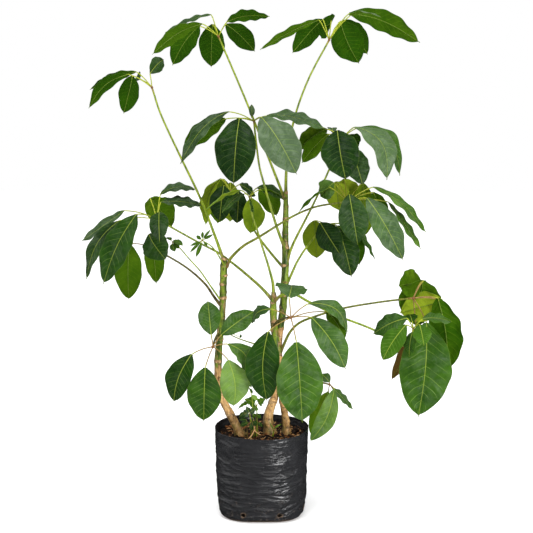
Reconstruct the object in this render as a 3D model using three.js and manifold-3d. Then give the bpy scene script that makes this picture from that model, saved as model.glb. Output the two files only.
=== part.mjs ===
// A potted umbrella plant: three upright stems in a soft black nursery bag of soil. Each stem carries
// long-stalked leaves, and each leaf is a whorl of leaflets that spreads and droops like the ribs of an
// umbrella. Millimetres, +Z up, +X to the right of a person facing the plant, +Y away from them. The
// origin is on the floor under the middle of the bag.
import * as THREE from "three";
import { mergeVertices } from "three/addons/utils/BufferGeometryUtils.js";
import Module from "manifold-3d";

const { sin, cos, abs, max, min, PI } = Math;
const wasm = await Module();
wasm.setup();

// ---------------------------------------------------------------- driving dimensions

const BAG_HEIGHT = 239;
const BAG_WALL = 1.5;
const SOIL_LEVEL = 215;
const DRAIN_RADIUS = 5.5;
const DRAIN_HEIGHT = 24;
const DRAIN_HOLES = 8;
const DRILL_LENGTH = 40; // what cuts a drain hole is this long, and this far out
const DRILL_REACH = 120;
const DRILL_SIDES = 8;
const GAP = 0.3; // clearance between pieces that touch
const BLADE_THICKNESS = 1.0;
const LEAF_STALK_RADIUS = 2.5; // a petiole, at its whorl of leaflets
const LEAF_STALK_FOOT = 4.6; // and where it clasps its stem
const LEAF_STALK_SWELL = 2.2; // the higher, the nearer the stem it swells to that
const LEAFLET_STALK_RADIUS = 1.5;
const WHORL_RADIUS = 4.5;
const YOUNG_WIDTH = 40; // a leaf whose leaflets are all narrower than this is a young one
const YOUNG_SIZE = 0.6; // and its stalks are this thick, as a share of a grown leaf's

// The bag's half width from the floor up, and how square it is there: an exponent of 2 is round.
const BAG_PROFILE = [
  { z: 0, half: 106, square: 3.3 },
  { z: 6, half: 114, square: 3.1 },
  { z: 18, half: 119.5, square: 2.9 },
  { z: 40, half: 123, square: 2.7 },
  { z: 80, half: 125.5, square: 2.4 },
  { z: 130, half: 127, square: 2.2 },
  { z: 185, half: 128.5, square: 2.05 },
  { z: BAG_HEIGHT, half: 131, square: 2 },
];

// ---------------------------------------------------------------- places

// Places are written [across, up, behind], as a person standing at EYE sees them: millimetres right of
// the bag's middle and above the floor on a screen that faces the eye at AIM, and how far the point
// really lies behind the bag's middle (negative is nearer). place() turns that into a point of the
// plant.
const AIM = new THREE.Vector3(13.6, 0, 686);
const EYE = new THREE.Vector3(13.6, -2970, 1110);
const SCREEN_DISTANCE = AIM.distanceTo(EYE);
const SIGHT = AIM.clone().sub(EYE).normalize();
const SCREEN_UP = new THREE.Vector3(0, -SIGHT.z, SIGHT.y);

function place([across, up, behind]) {
  const ray = SIGHT.clone()
    .addScaledVector(SCREEN_UP, (up - AIM.z) / SCREEN_DISTANCE)
    .add(new THREE.Vector3((across - AIM.x) / SCREEN_DISTANCE, 0, 0));
  return EYE.clone().addScaledVector(ray, (behind - EYE.y) / ray.y);
}

// ---------------------------------------------------------------- the plant

// A stem: its name, its middle line from inside the soil upwards, and its radius at each of those places.
const STEMS = [
  ["stem_left",
    [[-38, 150, -15], [-55, 222, -15], [-70, 255, -15], [-88, 290, -14], [-103, 318, -13],
      [-114, 348, -12], [-118, 400, -11], [-117, 450, -10], [-112, 510, -10], [-107, 560, -10],
      [-105, 600, -10], [-104, 640, -10], [-103, 680, -10], [-101, 712, -10]],
    [13, 13, 12.5, 11.5, 11, 11, 11, 10.5, 10, 9.6, 9.6, 9.8, 10, 7]],
  ["stem_tall",
    [[26, 150, 0], [25, 228, 0], [19, 250, 0], [18, 275, 2], [24, 300, 5], [37, 336, 9], [43, 400, 14],
      [46, 460, 17], [49, 510, 16], [57, 560, 10], [62, 620, 4], [65, 700, 0], [65, 770, 0],
      [66, 830, 0], [66, 892, 0]],
    [17, 18, 15, 14, 12.5, 10.8, 10.2, 10.2, 10.3, 10.6, 10.6, 10, 9, 8, 5.5]],
  ["stem_short",
    [[72, 150, 12], [69, 228, 12], [67, 255, 10], [61, 300, 4], [54, 345, -4], [50, 400, -10],
      [47, 445, -14], [39, 485, -16], [34, 525, -16], [32, 570, -16], [33, 616, -16]],
    [12, 12.5, 11, 10.3, 9.6, 9.5, 9.7, 9.8, 10, 9.8, 6.5]],
];

// A leaf: its name, the stem it grows from, its colour, the places of its long stalk from the middle of
// the stem to the whorl, and its leaflets. A leaflet is [blade's base, blade's tip, width, turn, arch,
// bend]. The turn is how far the blade's upper face is rolled round its midrib from facing the eye: 90
// is edge on, 180 shows the underside, and it is negative where the face rolls to the left. The arch is
// how high the midrib bows, and the bend, which some leaflets have, how far it bows sideways, both as a
// share of its length.
const LEAVES = [
  ["leaf_top_left", "stem_tall", "fresh",
    [[66, 862, 0], [54, 893, 4], [18, 985, 8], [-27, 1100, 14], [-73, 1210, 26], [-117, 1312, 40]],
    [
      [[-137, 1371, 60], [-262, 1322, 100], 46, -62, 0.05],
      [[-161, 1346, 25], [-297, 1263, 0], 48, -125, 0.12],
      [[-170, 1340, 50], [-242, 1233, 75], 66, -150, 0.08, -0.04],
      [[-133, 1345, 75], [-137, 1228, 110], 72, 175, 0.08, -0.02],
      [[-97, 1345, 65], [-18, 1271, 90], 62, 145, 0.1],
      [[-94, 1352, 30], [22, 1366, 10], 54, 112, 0.1],
    ]],
  ["leaf_top_right", "stem_tall", "fresh",
    [[66, 868, 0], [67, 935, 2], [71, 990, 4], [83, 1062, 8], [102, 1130, 12], [133, 1207, 16],
      [184, 1302, 20]],
    [
      [[156, 1357, 10], [-4, 1276, -20], 42, -108, 0.04],
      [[167, 1358, 40], [84, 1267, 80], 58, -150, 0.14, 0.03],
      [[190, 1354, 60], [150, 1334, 150], 72, 160, 0.1],
      [[214, 1353, 40], [265, 1238, 80], 88, 168, 0.08, -0.04],
      [[222, 1356, 75], [289, 1263, 140], 62, 155, 0.1],
      [[238, 1374, 5], [431, 1295, -30], 66, 135, 0.15],
      [[240, 1368, -15], [325, 1364, -110], 42, 75, 0.08],
    ]],
  ["leaf_far_left", "stem_left", "fresh",
    [[-100, 694, -10], [-125, 765, -2], [-167, 873, 12], [-223, 990, 30], [-274, 1100, 48],
      [-298, 1173, 60]],
    [
      [[-341, 1216, 80], [-467, 1167, 115], 42, -115, 0.06],
      [[-362, 1209, 45], [-470, 1116, 30], 46, -125, 0.1, -0.09],
      [[-351, 1205, 90], [-375, 1102, 130], 58, 175, 0.08, -0.01],
      [[-331, 1195, 110], [-338, 1198, 190], 38, 10, 0.08],
      [[-303, 1212, 75], [-266, 1249, 130], 42, -25, 0.08, -0.06],
    ]],
  ["leaf_high_centre", "stem_tall", "old",
    [[64, 735, 0], [48, 775, -14], [30, 830, -24], [10, 900, -32], [-5, 955, -36], [-14, 1020, -38],
      [-21, 1082, -40]],
    [
      [[-88, 1107, -60], [-220, 965, -80], 62, -52, 0.13],
      [[-98, 1088, -25], [-213, 1004, 10], 62, -140, 0.1],
      [[-60, 1088, -85], [-76, 909, -140], 109, -8, 0.1],
      [[-1, 1092, -80], [96, 936, -130], 100, 15, 0.12],
      [[14, 1096, -45], [172, 1061, -70], 76, 59, 0.08],
      [[-27, 1093, -50], [-27, 1127, -46], 17, -20, 0.08],
    ]],
  ["leaf_high_right", "stem_tall", "old",
    [[68, 690, 0], [77, 725, -10], [93, 762, -20], [122, 818, -32], [148, 870, -40], [182, 945, -50],
      [220, 1035, -60]],
    [
      [[178, 1060, -40], [100, 1004, -10], 58, -140, 0.12],
      [[182, 1046, -62], [110, 968, -60], 50, -150, 0.1],
      [[194, 1050, -20], [190, 1062, 60], 26, 0, 0.08],
      [[206, 1056, -105], [229, 921, -165], 99, 0, 0.08, 0.02],
      [[241, 1010, -95], [275, 907, -125], 66, 10, 0.08],
      [[240, 1045, -20], [258, 1004, 40], 48, 165, 0.08],
      [[253, 1065, -85], [341, 922, -115], 92, 42, 0.2, -0.13],
      [[261, 1063, -45], [376, 933, -50], 66, 48, 0.21, -0.14],
    ]],
  ["leaf_mid_right", "stem_left", "old",
    [[-95, 684, -12], [-84, 708, -22], [-49, 742, -34], [-9, 765, -44], [60, 808, -62], [100, 830, -75],
      [150, 849, -92], [210, 859, -112], [235, 862, -120]],
    [
      [[197, 914, -105], [160, 876, -82], 56, -25, 0.1],
      [[185, 902, -112], [101, 833, -90], 50, -92, 0.06],
      [[204, 917, -70], [211, 838, -30], 64, 178, 0.08],
      [[224, 924, -60], [240, 850, -10], 68, 172, 0.08],
      [[275, 914, -75], [282, 768, -60], 60, 170, 0.08],
      [[239, 882, -150], [262, 745, -185], 76, -4, 0.1],
      [[287, 872, -140], [386, 702, -180], 74, 15, 0.08],
      [[303, 902, -115], [447, 779, -120], 54, 60, 0.11, 0.04],
      [[344, 862, -105], [434, 733, -120], 44, 60, 0.04, 0.05],
      [[304, 888, -90], [338, 807, -70], 42, 160, 0.08],
    ]],
  ["leaf_mid_right_back", "stem_tall", "old",
    [[66, 632, 3], [77, 655, 4], [101, 706, 6], [142, 764, 8], [176, 800, 10]],
    [
      [[144, 811, 30], [151, 707, 45], 72, 180, 0.08],
      [[160, 805, -20], [212, 722, -45], 70, -8, 0.12],
      [[206, 797, -10], [245, 657, -30], 78, 8, 0.1],
      [[218, 802, 25], [267, 690, 30], 74, 162, 0.08],
      [[245, 797, 22], [309, 704, 45], 50, 68, 0.06],
    ]],
  ["leaf_mid_left", "stem_short", "old",
    [[32, 592, -16], [0, 628, 4], [-50, 672, 20], [-85, 700, 26], [-115, 722, 26], [-172, 752, 16],
      [-246, 793, 0], [-285, 815, -10]],
    [
      [[-373, 838, 5], [-489, 755, 35], 54, -56, 0],
      [[-386, 811, -25], [-476, 651, -40], 62, -44, 0.06, 0.12],
      [[-340, 828, -50], [-430, 638, -80], 80, -18, 0.06, 0.03],
      [[-303, 872, 30], [-243, 794, 110], 80, 172, 0.1],
      [[-275, 882, 40], [-179, 896, 80], 54, 62, 0.14],
      [[-274, 861, 20], [-162, 853, 40], 62, 62, 0.05],
      [[-278, 834, -35], [-277, 752, -110], 52, 0, 0.12],
    ]],
  ["leaf_lower_left", "stem_left", "old",
    [[-106, 574, -10], [-128, 602, -4], [-153, 638, 4], [-200, 680, 18], [-258, 716, 32],
      [-310, 742, 40]],
    [
      [[-360, 747, 50], [-361, 594, 60], 78, 178, 0.08, -0.03],
      [[-301, 764, 60], [-286, 639, 70], 56, 172, 0.08],
      [[-306, 774, 15], [-260, 704, -20], 76, -12, 0.15],
    ]],
  ["leaf_young_left", "stem_left", "fresh",
    [[-107, 588, -10], [-128, 618, -24], [-142, 638, -20], [-167, 674, -12], [-196, 706, 0],
      [-224, 738, 8], [-242, 752, 8]],
    [
      [[-240, 757, 4], [-214, 743, -25], 18, 40, 0.1],
      [[-243, 748, 4], [-236, 727, -15], 20, 0, 0.1],
      [[-246, 757, 12], [-257, 766, 25], 16, -50, 0.1],
      [[-238, 751, 5], [-225, 735, -8], 18, 15, 0.1],
    ]],
  ["young_sprig", "stem_left", "fresh",
    [[-101, 688, -12], [-110, 704, -30], [-133, 738, -34], [-161, 757, -28]],
    [
      [[-158, 762, -25], [-139, 786, -30], 7, 10, 0.05],
      [[-156, 760, -26], [-132, 773, -34], 8, 10, 0.05],
      [[-161, 763, -24], [-160, 781, -20], 8, 0, 0.05],
      [[-165, 760, -25], [-177, 770, -22], 10, 0, 0.05],
      [[-167, 754, -26], [-194, 742, -30], 7, -10, 0.05],
      [[-166, 752, -28], [-195, 724, -36], 8, -10, 0.05],
      [[-163, 750, -28], [-178, 712, -40], 11, 0, 0.05],
      [[-157, 753, -28], [-147, 743, -36], 7, 10, 0.05],
    ]],
  ["leaf_mid_centre", "stem_short", "old",
    [[33, 600, -16], [31, 640, -18], [25, 665, -18], [15, 700, -18], [2, 740, -18], [-10, 780, -19],
      [-25, 824, -20], [-33, 876, -20]],
    [
      [[-3, 896, 0], [41, 823, 40], 60, 150, 0.14],
      [[-12, 900, 14], [70, 868, 50], 44, 46, 0.1],
      [[-26, 872, 15], [-31, 775, 45], 62, 172, 0.06, 0.06],
      [[-31, 866, -38], [-29, 836, -90], 30, 75, 0.05],
      [[-55, 893, -30], [-150, 840, -60], 46, -98, 0.08],
      [[-47, 884, -48], [-107, 833, -90], 42, -60, 0.08],
    ]],
  ["leaf_back_centre", "stem_tall", "old",
    [[64, 680, 0], [46, 698, 24], [0, 755, 55], [-22, 788, 68], [-45, 828, 80], [-85, 890, 100]],
    [
      [[-111, 925, 100], [-151, 798, 90], 66, -115, 0.15],
      [[-102, 906, 65], [-114, 808, 40], 66, -5, 0.12],
      [[-104, 924, 135], [-120, 802, 170], 80, 178, 0.06],
      [[-84, 914, 130], [-86, 806, 150], 60, 175, 0.06],
      [[-64, 893, 85], [-67, 802, 70], 56, 12, 0.1],
      [[-60, 909, 110], [-16, 878, 150], 40, 50, 0.05],
    ]],
  ["leaf_far_right", "stem_tall", "old",
    [[47, 440, 17], [61, 474, 8], [78, 508, -4], [102, 532, -16], [137, 547, -34], [200, 567, -72],
      [250, 578, -104], [300, 586, -134], [350, 593, -164], [413, 600, -200]],
    [
      [[434, 645, -172], [373, 634, -140], 78, 172, 0.1],
      [[440, 648, -180], [420, 522, -128], 110, 174, 0.08],
      [[494, 592, -188], [376, 560, -150], 78, 176, 0.06],
      [[480, 600, -200], [508, 404, -190], 92, 146, 0.03, 0.03],
      [[449, 533, -212], [426, 276, -245], 133, 2, 0.06, -0.02],
      [[420, 516, -192], [353, 376, -188], 38, -160, 0.06, 0.05],
    ]],
  ["leaf_young_right", "stem_short", "fresh",
    [[34, 590, -18], [55, 608, -36], [88, 611, -58], [125, 592, -86], [205, 553, -142], [300, 516, -204],
      [345, 490, -230], [388, 470, -254], [405, 484, -260], [413, 517, -258]],
    [
      [[396, 545, -256], [304, 502, -235], 56, -38, 0.12],
      [[393, 527, -268], [329, 430, -280], 54, -15, 0.1, 0.03],
      [[411, 508, -270], [402, 440, -275], 36, -40, 0.08],
      [[438, 543, -258], [518, 536, -240], 48, 62, 0.08],
      [[430, 528, -276], [442, 471, -300], 46, 4, 0.08],
      [[410, 536, -242], [402, 556, -196], 36, 0, 0.08],
    ]],
  ["leaf_front_centre", "stem_short", "mid",
    [[33, 522, -16], [45, 538, -100], [65, 546, -190], [80, 547, -270]],
    [
      [[75, 602, -262], [83, 634, -185], 82, 5, 0.12],
      [[25, 570, -265], [-26, 532, -235], 44, -58, 0.22],
      [[18, 508, -285], [15, 320, -290], 90, -12, 0.1, 0.05],
      [[95, 480, -295], [111, 262, -318], 118, 3, 0.08],
      [[137, 547, -280], [229, 407, -290], 68, 12, 0.08, -0.04],
      [[128, 585, -268], [234, 508, -250], 46, 42, 0.34],
      [[178, 563, -262], [223, 480, -248], 42, 165, 0.06, 0.08],
    ]],
  ["leaf_front_left", "stem_left", "mid",
    [[-113, 495, -10], [-118, 502, -90], [-127, 487, -175], [-132, 468, -250]],
    [
      [[-137, 501, -245], [-146, 593, -205], 58, -3, 0.06],
      [[-109, 500, -235], [-19, 565, -180], 56, 22, 0.06],
      [[-91, 475, -250], [-37, 396, -240], 54, 35, 0.32, -0.06],
      [[-90, 431, -258], [-76, 305, -265], 75, 5, 0.08, -0.08],
      [[-153, 411, -262], [-157, 265, -275], 86, -2, 0.08],
      [[-190, 447, -255], [-239, 317, -260], 66, -10, 0.1, 0.06],
    ]],
  ["leaf_low_right", "stem_short", "mid",
    [[52, 368, -8], [90, 380, -10], [140, 376, -16], [185, 365, -20]],
    [
      [[185, 371, -12], [163, 394, 15], 30, -20, 0.1],
      [[192, 357, -20], [249, 297, -30], 42, 64, 0.02],
      [[198, 352, -40], [131, 209, -66], 52, -12, 0.1, -0.1],
      [[182, 346, -4], [133, 227, 10], 46, -165, 0.06],
    ]],
  ["bare_stalk", "stem_short", "old",
    [[45, 452, -12], [14, 466, 4], [-20, 476, 8], [-57, 488, 8], [-78, 497, 6], [-96, 507, 4]],
    [
      [[-57, 492, 8], [-56, 502, 8], 6, 0, 0.05],
    ]],
];

// Weeds that have sprung up in the soil, written as the leaves are: they stand in the soil instead of on
// a stem.
const WEEDS = [
  ["weed_bright", "soil", "fresh",
    [[-14, 200, -22], [-13, 235, -22], [-12, 270, -22], [-13, 308, -22]],
    [
      [[-18, 315, -22], [-46, 325, -18], 35, -30, 0.1],
      [[-8, 313, -24], [12, 328, -30], 27, 30, 0.1],
      [[-14, 305, -26], [-27, 294, -36], 24, -10, 0.1],
      [[-38, 316, -16], [-65, 298, -10], 15, -50, 0.1],
    ]],
  ["weed_dark", "soil", "old",
    [[-28, 196, -48], [-28, 228, -48], [-29, 255, -46], [-32, 283, -42]],
    [
      [[-37, 288, -41], [-61, 275, -40], 24, -25, 0.12],
      [[-31, 288, -42], [-14, 300, -48], 22, 20, 0.12],
      [[-33, 289, -40], [-42, 306, -36], 20, -10, 0.12],
      [[-27, 262, -48], [-14, 252, -58], 16, 15, 0.12],
    ]],
  ["grass_tuft", "soil", "fresh",
    [[30, 200, -24], [31, 220, -24], [32, 232, -25], [33, 240, -26]],
    [
      [[34, 242, -26], [54, 257, -34], 5, 40, 0.2],
      [[32, 243, -27], [22, 262, -36], 4, 0, 0.15],
    ]],
];

// ---------------------------------------------------------------- solids

function solidOf(geometry) {
  const bare = geometry.clone();
  for (const name of Object.keys(bare.attributes)) {
    if (name !== "position") bare.deleteAttribute(name);
  }
  const merged = mergeVertices(bare, 1e-4);
  const mesh = new wasm.Mesh({
    numProp: 3,
    vertProperties: merged.attributes.position.array,
    triVerts: new Uint32Array(merged.index.array),
  });
  return new wasm.Manifold(mesh);
}

function geometryOf(solid) {
  const mesh = solid.getMesh();
  const geometry = new THREE.BufferGeometry();
  geometry.setAttribute("position", new THREE.BufferAttribute(new Float32Array(mesh.vertProperties), 3));
  geometry.setIndex(new THREE.BufferAttribute(new Uint32Array(mesh.triVerts), 1));
  return geometry;
}

const fuse = (solids) => solids.reduce((whole, next) => whole.add(next));

// The largest body of a solid: a cut can leave loose scraps, which are dropped.
function largest(solid) {
  const bodies = solid.decompose();
  return bodies.reduce((best, body) => (body.volume() > best.volume() ? body : best));
}

// A tube of the given radii along a smooth line through the points: a capped cylinder wrapped round the
// line.
function tube(points, radii, sides, steps) {
  const line = new THREE.CatmullRomCurve3(points, false, "centripetal");
  const frames = line.computeFrenetFrames(steps, false);
  const cylinder = new THREE.CylinderGeometry(1, 1, 1, sides, steps);
  const position = cylinder.attributes.position;
  for (let i = 0; i < position.count; i++) {
    const t = position.getY(i) + 0.5;
    const step = Math.round(t * steps);
    const station = t * (radii.length - 1);
    const before = min(Math.floor(station), radii.length - 2);
    const radius = THREE.MathUtils.lerp(radii[before], radii[before + 1], station - before);
    const point = line
      .getPoint(step / steps)
      .addScaledVector(frames.normals[step], position.getZ(i) * radius)
      .addScaledVector(frames.binormals[step], position.getX(i) * radius);
    position.setXYZ(i, point.x, point.y, point.z);
  }
  return solidOf(cylinder);
}

// ---------------------------------------------------------------- leaflets

// How wide a blade is along its length, from 0 at its base to 0 at its tip, and 1 at its widest.
const bladeWidth = (t) => sin(PI * t) ** 0.7;

// The frame of one leaflet: the midrib as a function, its length, and the directions of its face and its
// side.
function leafletFrame([base, tip, width, turn, arch, bend = 0]) {
  const from = place(base);
  const chord = place(tip).sub(from);
  const length = chord.length();
  const along = chord.clone().normalize();
  const toEye = SIGHT.clone().negate().projectOnPlane(along).normalize();
  const sideways = toEye.clone().cross(along);
  const roll = THREE.MathUtils.degToRad(turn);
  const face = toEye.multiplyScalar(cos(roll)).addScaledVector(sideways, sin(roll));
  const side = along.clone().cross(face);
  const midrib = (t) =>
    from
      .clone()
      .addScaledVector(chord, t)
      .addScaledVector(face, arch * length * sin(PI * t ** 0.85))
      .addScaledVector(side, bend * length * sin(PI * t));
  return { width, face, side, midrib };
}

// A blade has two faces of the same points: a base, rows of three points across the midrib, and a tip.
// Both faces are split into the same triangles, so that the blade keeps its thickness where it waves.
const BLADE_ROW_PLACES = [0.167, 0.389, 0.611, 0.833]; // shares of the way from the base to the tip
const BLADE_FOLD = 0.16; // how far each half rises from the midrib, as a share of the half's width
const BLADE_RIPPLE = 0.05; // how far the margin waves, as a share of the blade's width
const RIPPLE_ALONG = 9; // radians of wave from base to tip
const RIPPLE_ACROSS = 2; // and from the midrib to the margin
const RIPPLE_STEP = 1.7; // and from one leaflet of a leaf to the next

const BLADE_ROWS = BLADE_ROW_PLACES.length;

function bladeTriangles() {
  const tip = 3 * BLADE_ROWS + 1;
  const triangles = [[0, 2, 1], [0, 3, 2], [tip - 3, tip - 2, tip], [tip - 2, tip - 1, tip]];
  for (let row = 0; row < BLADE_ROWS - 1; row++) {
    const left = 1 + 3 * row;
    const middle = left + 1;
    const right = left + 2;
    triangles.push([left, middle, left + 3], [middle, middle + 3, left + 3]);
    triangles.push([middle, right, right + 3], [middle, right + 3, middle + 3]);
  }
  const under = triangles.map(([a, b, c]) => [a, c, b].map((i) => i + tip + 1));
  const rows = [...Array(BLADE_ROWS).keys()];
  const rim = [0, ...rows.map((row) => 3 + 3 * row), tip, ...rows.map((row) => 1 + 3 * row).reverse()];
  const edge = rim.flatMap((a, i) => {
    const b = rim[(i + 1) % rim.length];
    return [[a, a + tip + 1, b + tip + 1], [a, b + tip + 1, b]];
  });
  return [...triangles, ...under, ...edge].flat();
}

const BLADE_INDEX = bladeTriangles();

function blade({ width, face, side, midrib }, phase) {
  const pointAt = (t, across) => {
    const half = bladeWidth(t) * (width / 2);
    const wave = sin(phase + RIPPLE_ALONG * t + RIPPLE_ACROSS * across);
    const lift = abs(across) * half * (BLADE_FOLD + 2 * BLADE_RIPPLE * wave);
    return midrib(t).addScaledVector(side, across * half).addScaledVector(face, lift);
  };
  const rows = BLADE_ROW_PLACES.flatMap((t) => [-1, 0, 1].map((across) => pointAt(t, across)));
  const sheet = [pointAt(0, 0), ...rows, pointAt(1, 0)];
  const faces = [0.5, -0.5].flatMap((level) =>
    sheet.map((point) => point.clone().addScaledVector(face, level * BLADE_THICKNESS)),
  );
  return solidOf(new THREE.BufferGeometry().setFromPoints(faces).setIndex(BLADE_INDEX));
}

const LEAF_STALK_SIDES = 5;
const LEAFLET_STALK_SIDES = 3;
const LEAFLET_STALK_ARCH = 0.06; // how far it bows upwards, as a share of its length
const LEAFLET_STALK_TIP = 0.35; // its radius inside the blade
const LEAFLET_STALK_GRIP = 0.3; // how far in it ends, as a share of the way to the first row of points

// A leaflet's own short stalk, from the whorl to a little way inside its blade.
function leafletStalk(whorl, { midrib }, radius) {
  const base = midrib(0).lerp(midrib(BLADE_ROW_PLACES[0]), LEAFLET_STALK_GRIP);
  const middle = whorl.clone().lerp(base, 0.5);
  middle.z += whorl.distanceTo(base) * LEAFLET_STALK_ARCH;
  return tube([whorl, middle, base], [radius, radius, LEAFLET_STALK_TIP], LEAFLET_STALK_SIDES, 2);
}

const sizeOf = (leaflets) => (leaflets.every(([, , width]) => width < YOUNG_WIDTH) ? YOUNG_SIZE : 1);

// A leaf's long stalk, which is thickest where it clasps its stem.
function leafStalk([, , , stalk, leaflets], extra = 0) {
  const points = stalk.map(place);
  const radii = points.map((_, i) => {
    const fromWhorl = 1 - i / (points.length - 1);
    const radius = LEAF_STALK_RADIUS + (LEAF_STALK_FOOT - LEAF_STALK_RADIUS) * fromWhorl ** LEAF_STALK_SWELL;
    return sizeOf(leaflets) * radius + extra;
  });
  return tube(points, radii, LEAF_STALK_SIDES, points.length);
}

function leafSolid(leaf) {
  const [, , , stalk, leaflets] = leaf;
  const size = sizeOf(leaflets);
  const whorl = place(stalk[stalk.length - 1]);
  const knob = new THREE.OctahedronGeometry(WHORL_RADIUS * size).translate(...whorl);
  const parts = [leafStalk(leaf), solidOf(knob)];
  leaflets.forEach((leaflet, i) => {
    const frame = leafletFrame(leaflet);
    parts.push(leafletStalk(whorl, frame, LEAFLET_STALK_RADIUS * size), blade(frame, RIPPLE_STEP * i));
  });
  return fuse(parts);
}

// ---------------------------------------------------------------- stems

const STEM_SIDES = 8;

function stemSolid([, line, radii], extra = 0) {
  const grown = radii.map((radius) => radius + extra);
  return tube(line.map(place), grown, STEM_SIDES, line.length + 3);
}

// ---------------------------------------------------------------- bag and soil

function bagAt(z) {
  const above = max(1, BAG_PROFILE.findIndex((row) => row.z >= z));
  const low = BAG_PROFILE[above - 1];
  const high = BAG_PROFILE[above];
  const share = (z - low.z) / (high.z - low.z);
  const between = (key) => THREE.MathUtils.lerp(low[key], high[key], share);
  return { half: between("half"), square: between("square") };
}

// How far the bag's outside is from its axis, at a height and in a direction.
function bagReach(z, angle) {
  const { half, square } = bagAt(THREE.MathUtils.clamp(z, 0, BAG_HEIGHT));
  return half / (abs(cos(angle)) ** square + abs(sin(angle)) ** square) ** (1 / square);
}

const ROUND_SIDES = 24;
const SOIL_RINGS = [0.82, 0.62, 0.4, 0.2];
const SOIL_HOLLOWS = 5; // this many round the bag
const SOIL_HOLLOW_DEPTH = 3;
const SOIL_HOLLOW_TWIST = 9; // radians that they turn from the middle to the wall
const SOIL_HEAP = 4; // how far the soil rises to the middle

// A closed column of the bag's section, this far inside it, between two heights. Its top can be in
// rings, each a share of the reach, which the bump raises.
function column(inset, floor, top, rings = [], bump = () => 0) {
  const between = BAG_PROFILE.map(({ z }) => z).filter((z) => z > floor && z < top);
  const walls = [floor, ...between, top].map((z) => [1, z]);
  const profile = [[0, floor], ...walls, ...rings.map((share) => [share, top]), [0, top]];
  const outline = profile.map(([share, z]) => new THREE.Vector2(share, z));
  const lathe = new THREE.LatheGeometry(outline, ROUND_SIDES);
  const position = lathe.attributes.position;
  for (let i = 0; i < position.count; i++) {
    const [share, z] = profile[i % profile.length];
    const angle = Math.atan2(-position.getZ(i), position.getX(i));
    const reach = share * (bagReach(z, angle) - inset);
    const raised = z === top && share < 1 ? bump(share, angle) : 0;
    position.setXYZ(i, reach * cos(angle), reach * sin(angle), z + raised);
  }
  return solidOf(lathe);
}

function bagSolid() {
  const drill = new THREE.CylinderGeometry(DRAIN_RADIUS, DRAIN_RADIUS, DRILL_LENGTH, DRILL_SIDES);
  drill.translate(0, DRILL_REACH, DRAIN_HEIGHT);
  const drills = [...Array(DRAIN_HOLES).keys()].map((hole) =>
    solidOf(drill.clone().rotateZ(((hole + 0.5) / DRAIN_HOLES) * 2 * PI)),
  );
  const cavity = column(BAG_WALL, BAG_WALL, BAG_HEIGHT + BAG_WALL);
  return column(0, 0, BAG_HEIGHT).subtract(fuse([cavity, ...drills]));
}

// The soil fills the bag to a little below its rim, with a low heap and hollows on top.
function soilSolid() {
  const inset = BAG_WALL + GAP;
  const bump = (share, angle) => {
    const hollow = sin(SOIL_HOLLOWS * angle + SOIL_HOLLOW_TWIST * share);
    return SOIL_HOLLOW_DEPTH * share * hollow + SOIL_HEAP * (1 - share);
  };
  return column(inset, inset, SOIL_LEVEL, SOIL_RINGS, bump);
}

// ---------------------------------------------------------------- the whole plant

const COLOURS = {
  bag: { color: 0x232427, roughness: 0.42 },
  soil: { color: 0x3a2416, roughness: 0.95 },
  stem: { color: 0x6f7a35, roughness: 0.7 },
  fresh: { color: 0x3f7a1c, roughness: 0.5 },
  mid: { color: 0x3d6b2c, roughness: 0.45 },
  old: { color: 0x2c4f26, roughness: 0.45 },
};

function meshOf(name, solid, colour) {
  const material = new THREE.MeshStandardMaterial({ metalness: 0, ...COLOURS[colour] });
  const mesh = new THREE.Mesh(geometryOf(solid), material);
  mesh.name = name;
  return mesh;
}

// What stands in a piece is cut from it with a small clearance all round.
const stemRoom = fuse(STEMS.map((stem) => stemSolid(stem, GAP)));
const weedRoom = fuse(WEEDS.map((weed) => leafStalk(weed, GAP)));

const filledBag = new THREE.Group();
filledBag.add(meshOf("nursery_bag", bagSolid(), "bag"));
filledBag.add(meshOf("soil", soilSolid().subtract(stemRoom).subtract(weedRoom), "soil"));
for (const weed of WEEDS) filledBag.add(meshOf(weed[0], leafSolid(weed), weed[2]));

const plant = new THREE.Group();
plant.add(filledBag);
for (const stem of STEMS) {
  const shoot = new THREE.Group();
  shoot.add(meshOf(stem[0], stemSolid(stem), "stem"));
  const leaves = LEAVES.filter(([, grownFrom]) => grownFrom === stem[0]);
  for (const leaf of leaves) {
    shoot.add(meshOf(leaf[0], largest(leafSolid(leaf).subtract(stemRoom)), leaf[2]));
  }
  plant.add(shoot);
}

export default plant;
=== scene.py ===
"""A potted umbrella plant: three stems of long-stalked, umbrella-like leaves in a soft black nursery bag.

Metres, +Z up. The sizes and places that the solids share are in millimetres, as they are there.
"""

import math
import random

import bmesh
import bpy
from bmesh.types import BMEdge, BMFace, BMVert
from mathutils import Matrix, Quaternion, Vector, noise
from mathutils.geometry import interpolate_bezier


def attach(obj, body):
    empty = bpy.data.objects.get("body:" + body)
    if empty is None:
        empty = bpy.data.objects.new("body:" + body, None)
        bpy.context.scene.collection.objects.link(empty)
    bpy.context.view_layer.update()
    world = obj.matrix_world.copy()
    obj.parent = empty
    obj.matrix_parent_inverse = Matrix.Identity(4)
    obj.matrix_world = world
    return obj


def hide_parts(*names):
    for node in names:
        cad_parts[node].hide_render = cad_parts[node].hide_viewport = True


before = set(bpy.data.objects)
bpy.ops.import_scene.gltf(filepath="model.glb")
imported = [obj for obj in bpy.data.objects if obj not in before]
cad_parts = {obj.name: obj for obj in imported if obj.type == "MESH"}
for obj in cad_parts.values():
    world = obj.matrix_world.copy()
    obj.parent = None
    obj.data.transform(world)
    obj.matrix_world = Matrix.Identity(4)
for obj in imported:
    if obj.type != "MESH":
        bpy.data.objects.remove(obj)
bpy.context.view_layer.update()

MM = 0.001
UP = Vector((0, 0, 1))

# ---------------------------------------------------------------- sizes of the solids

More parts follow.
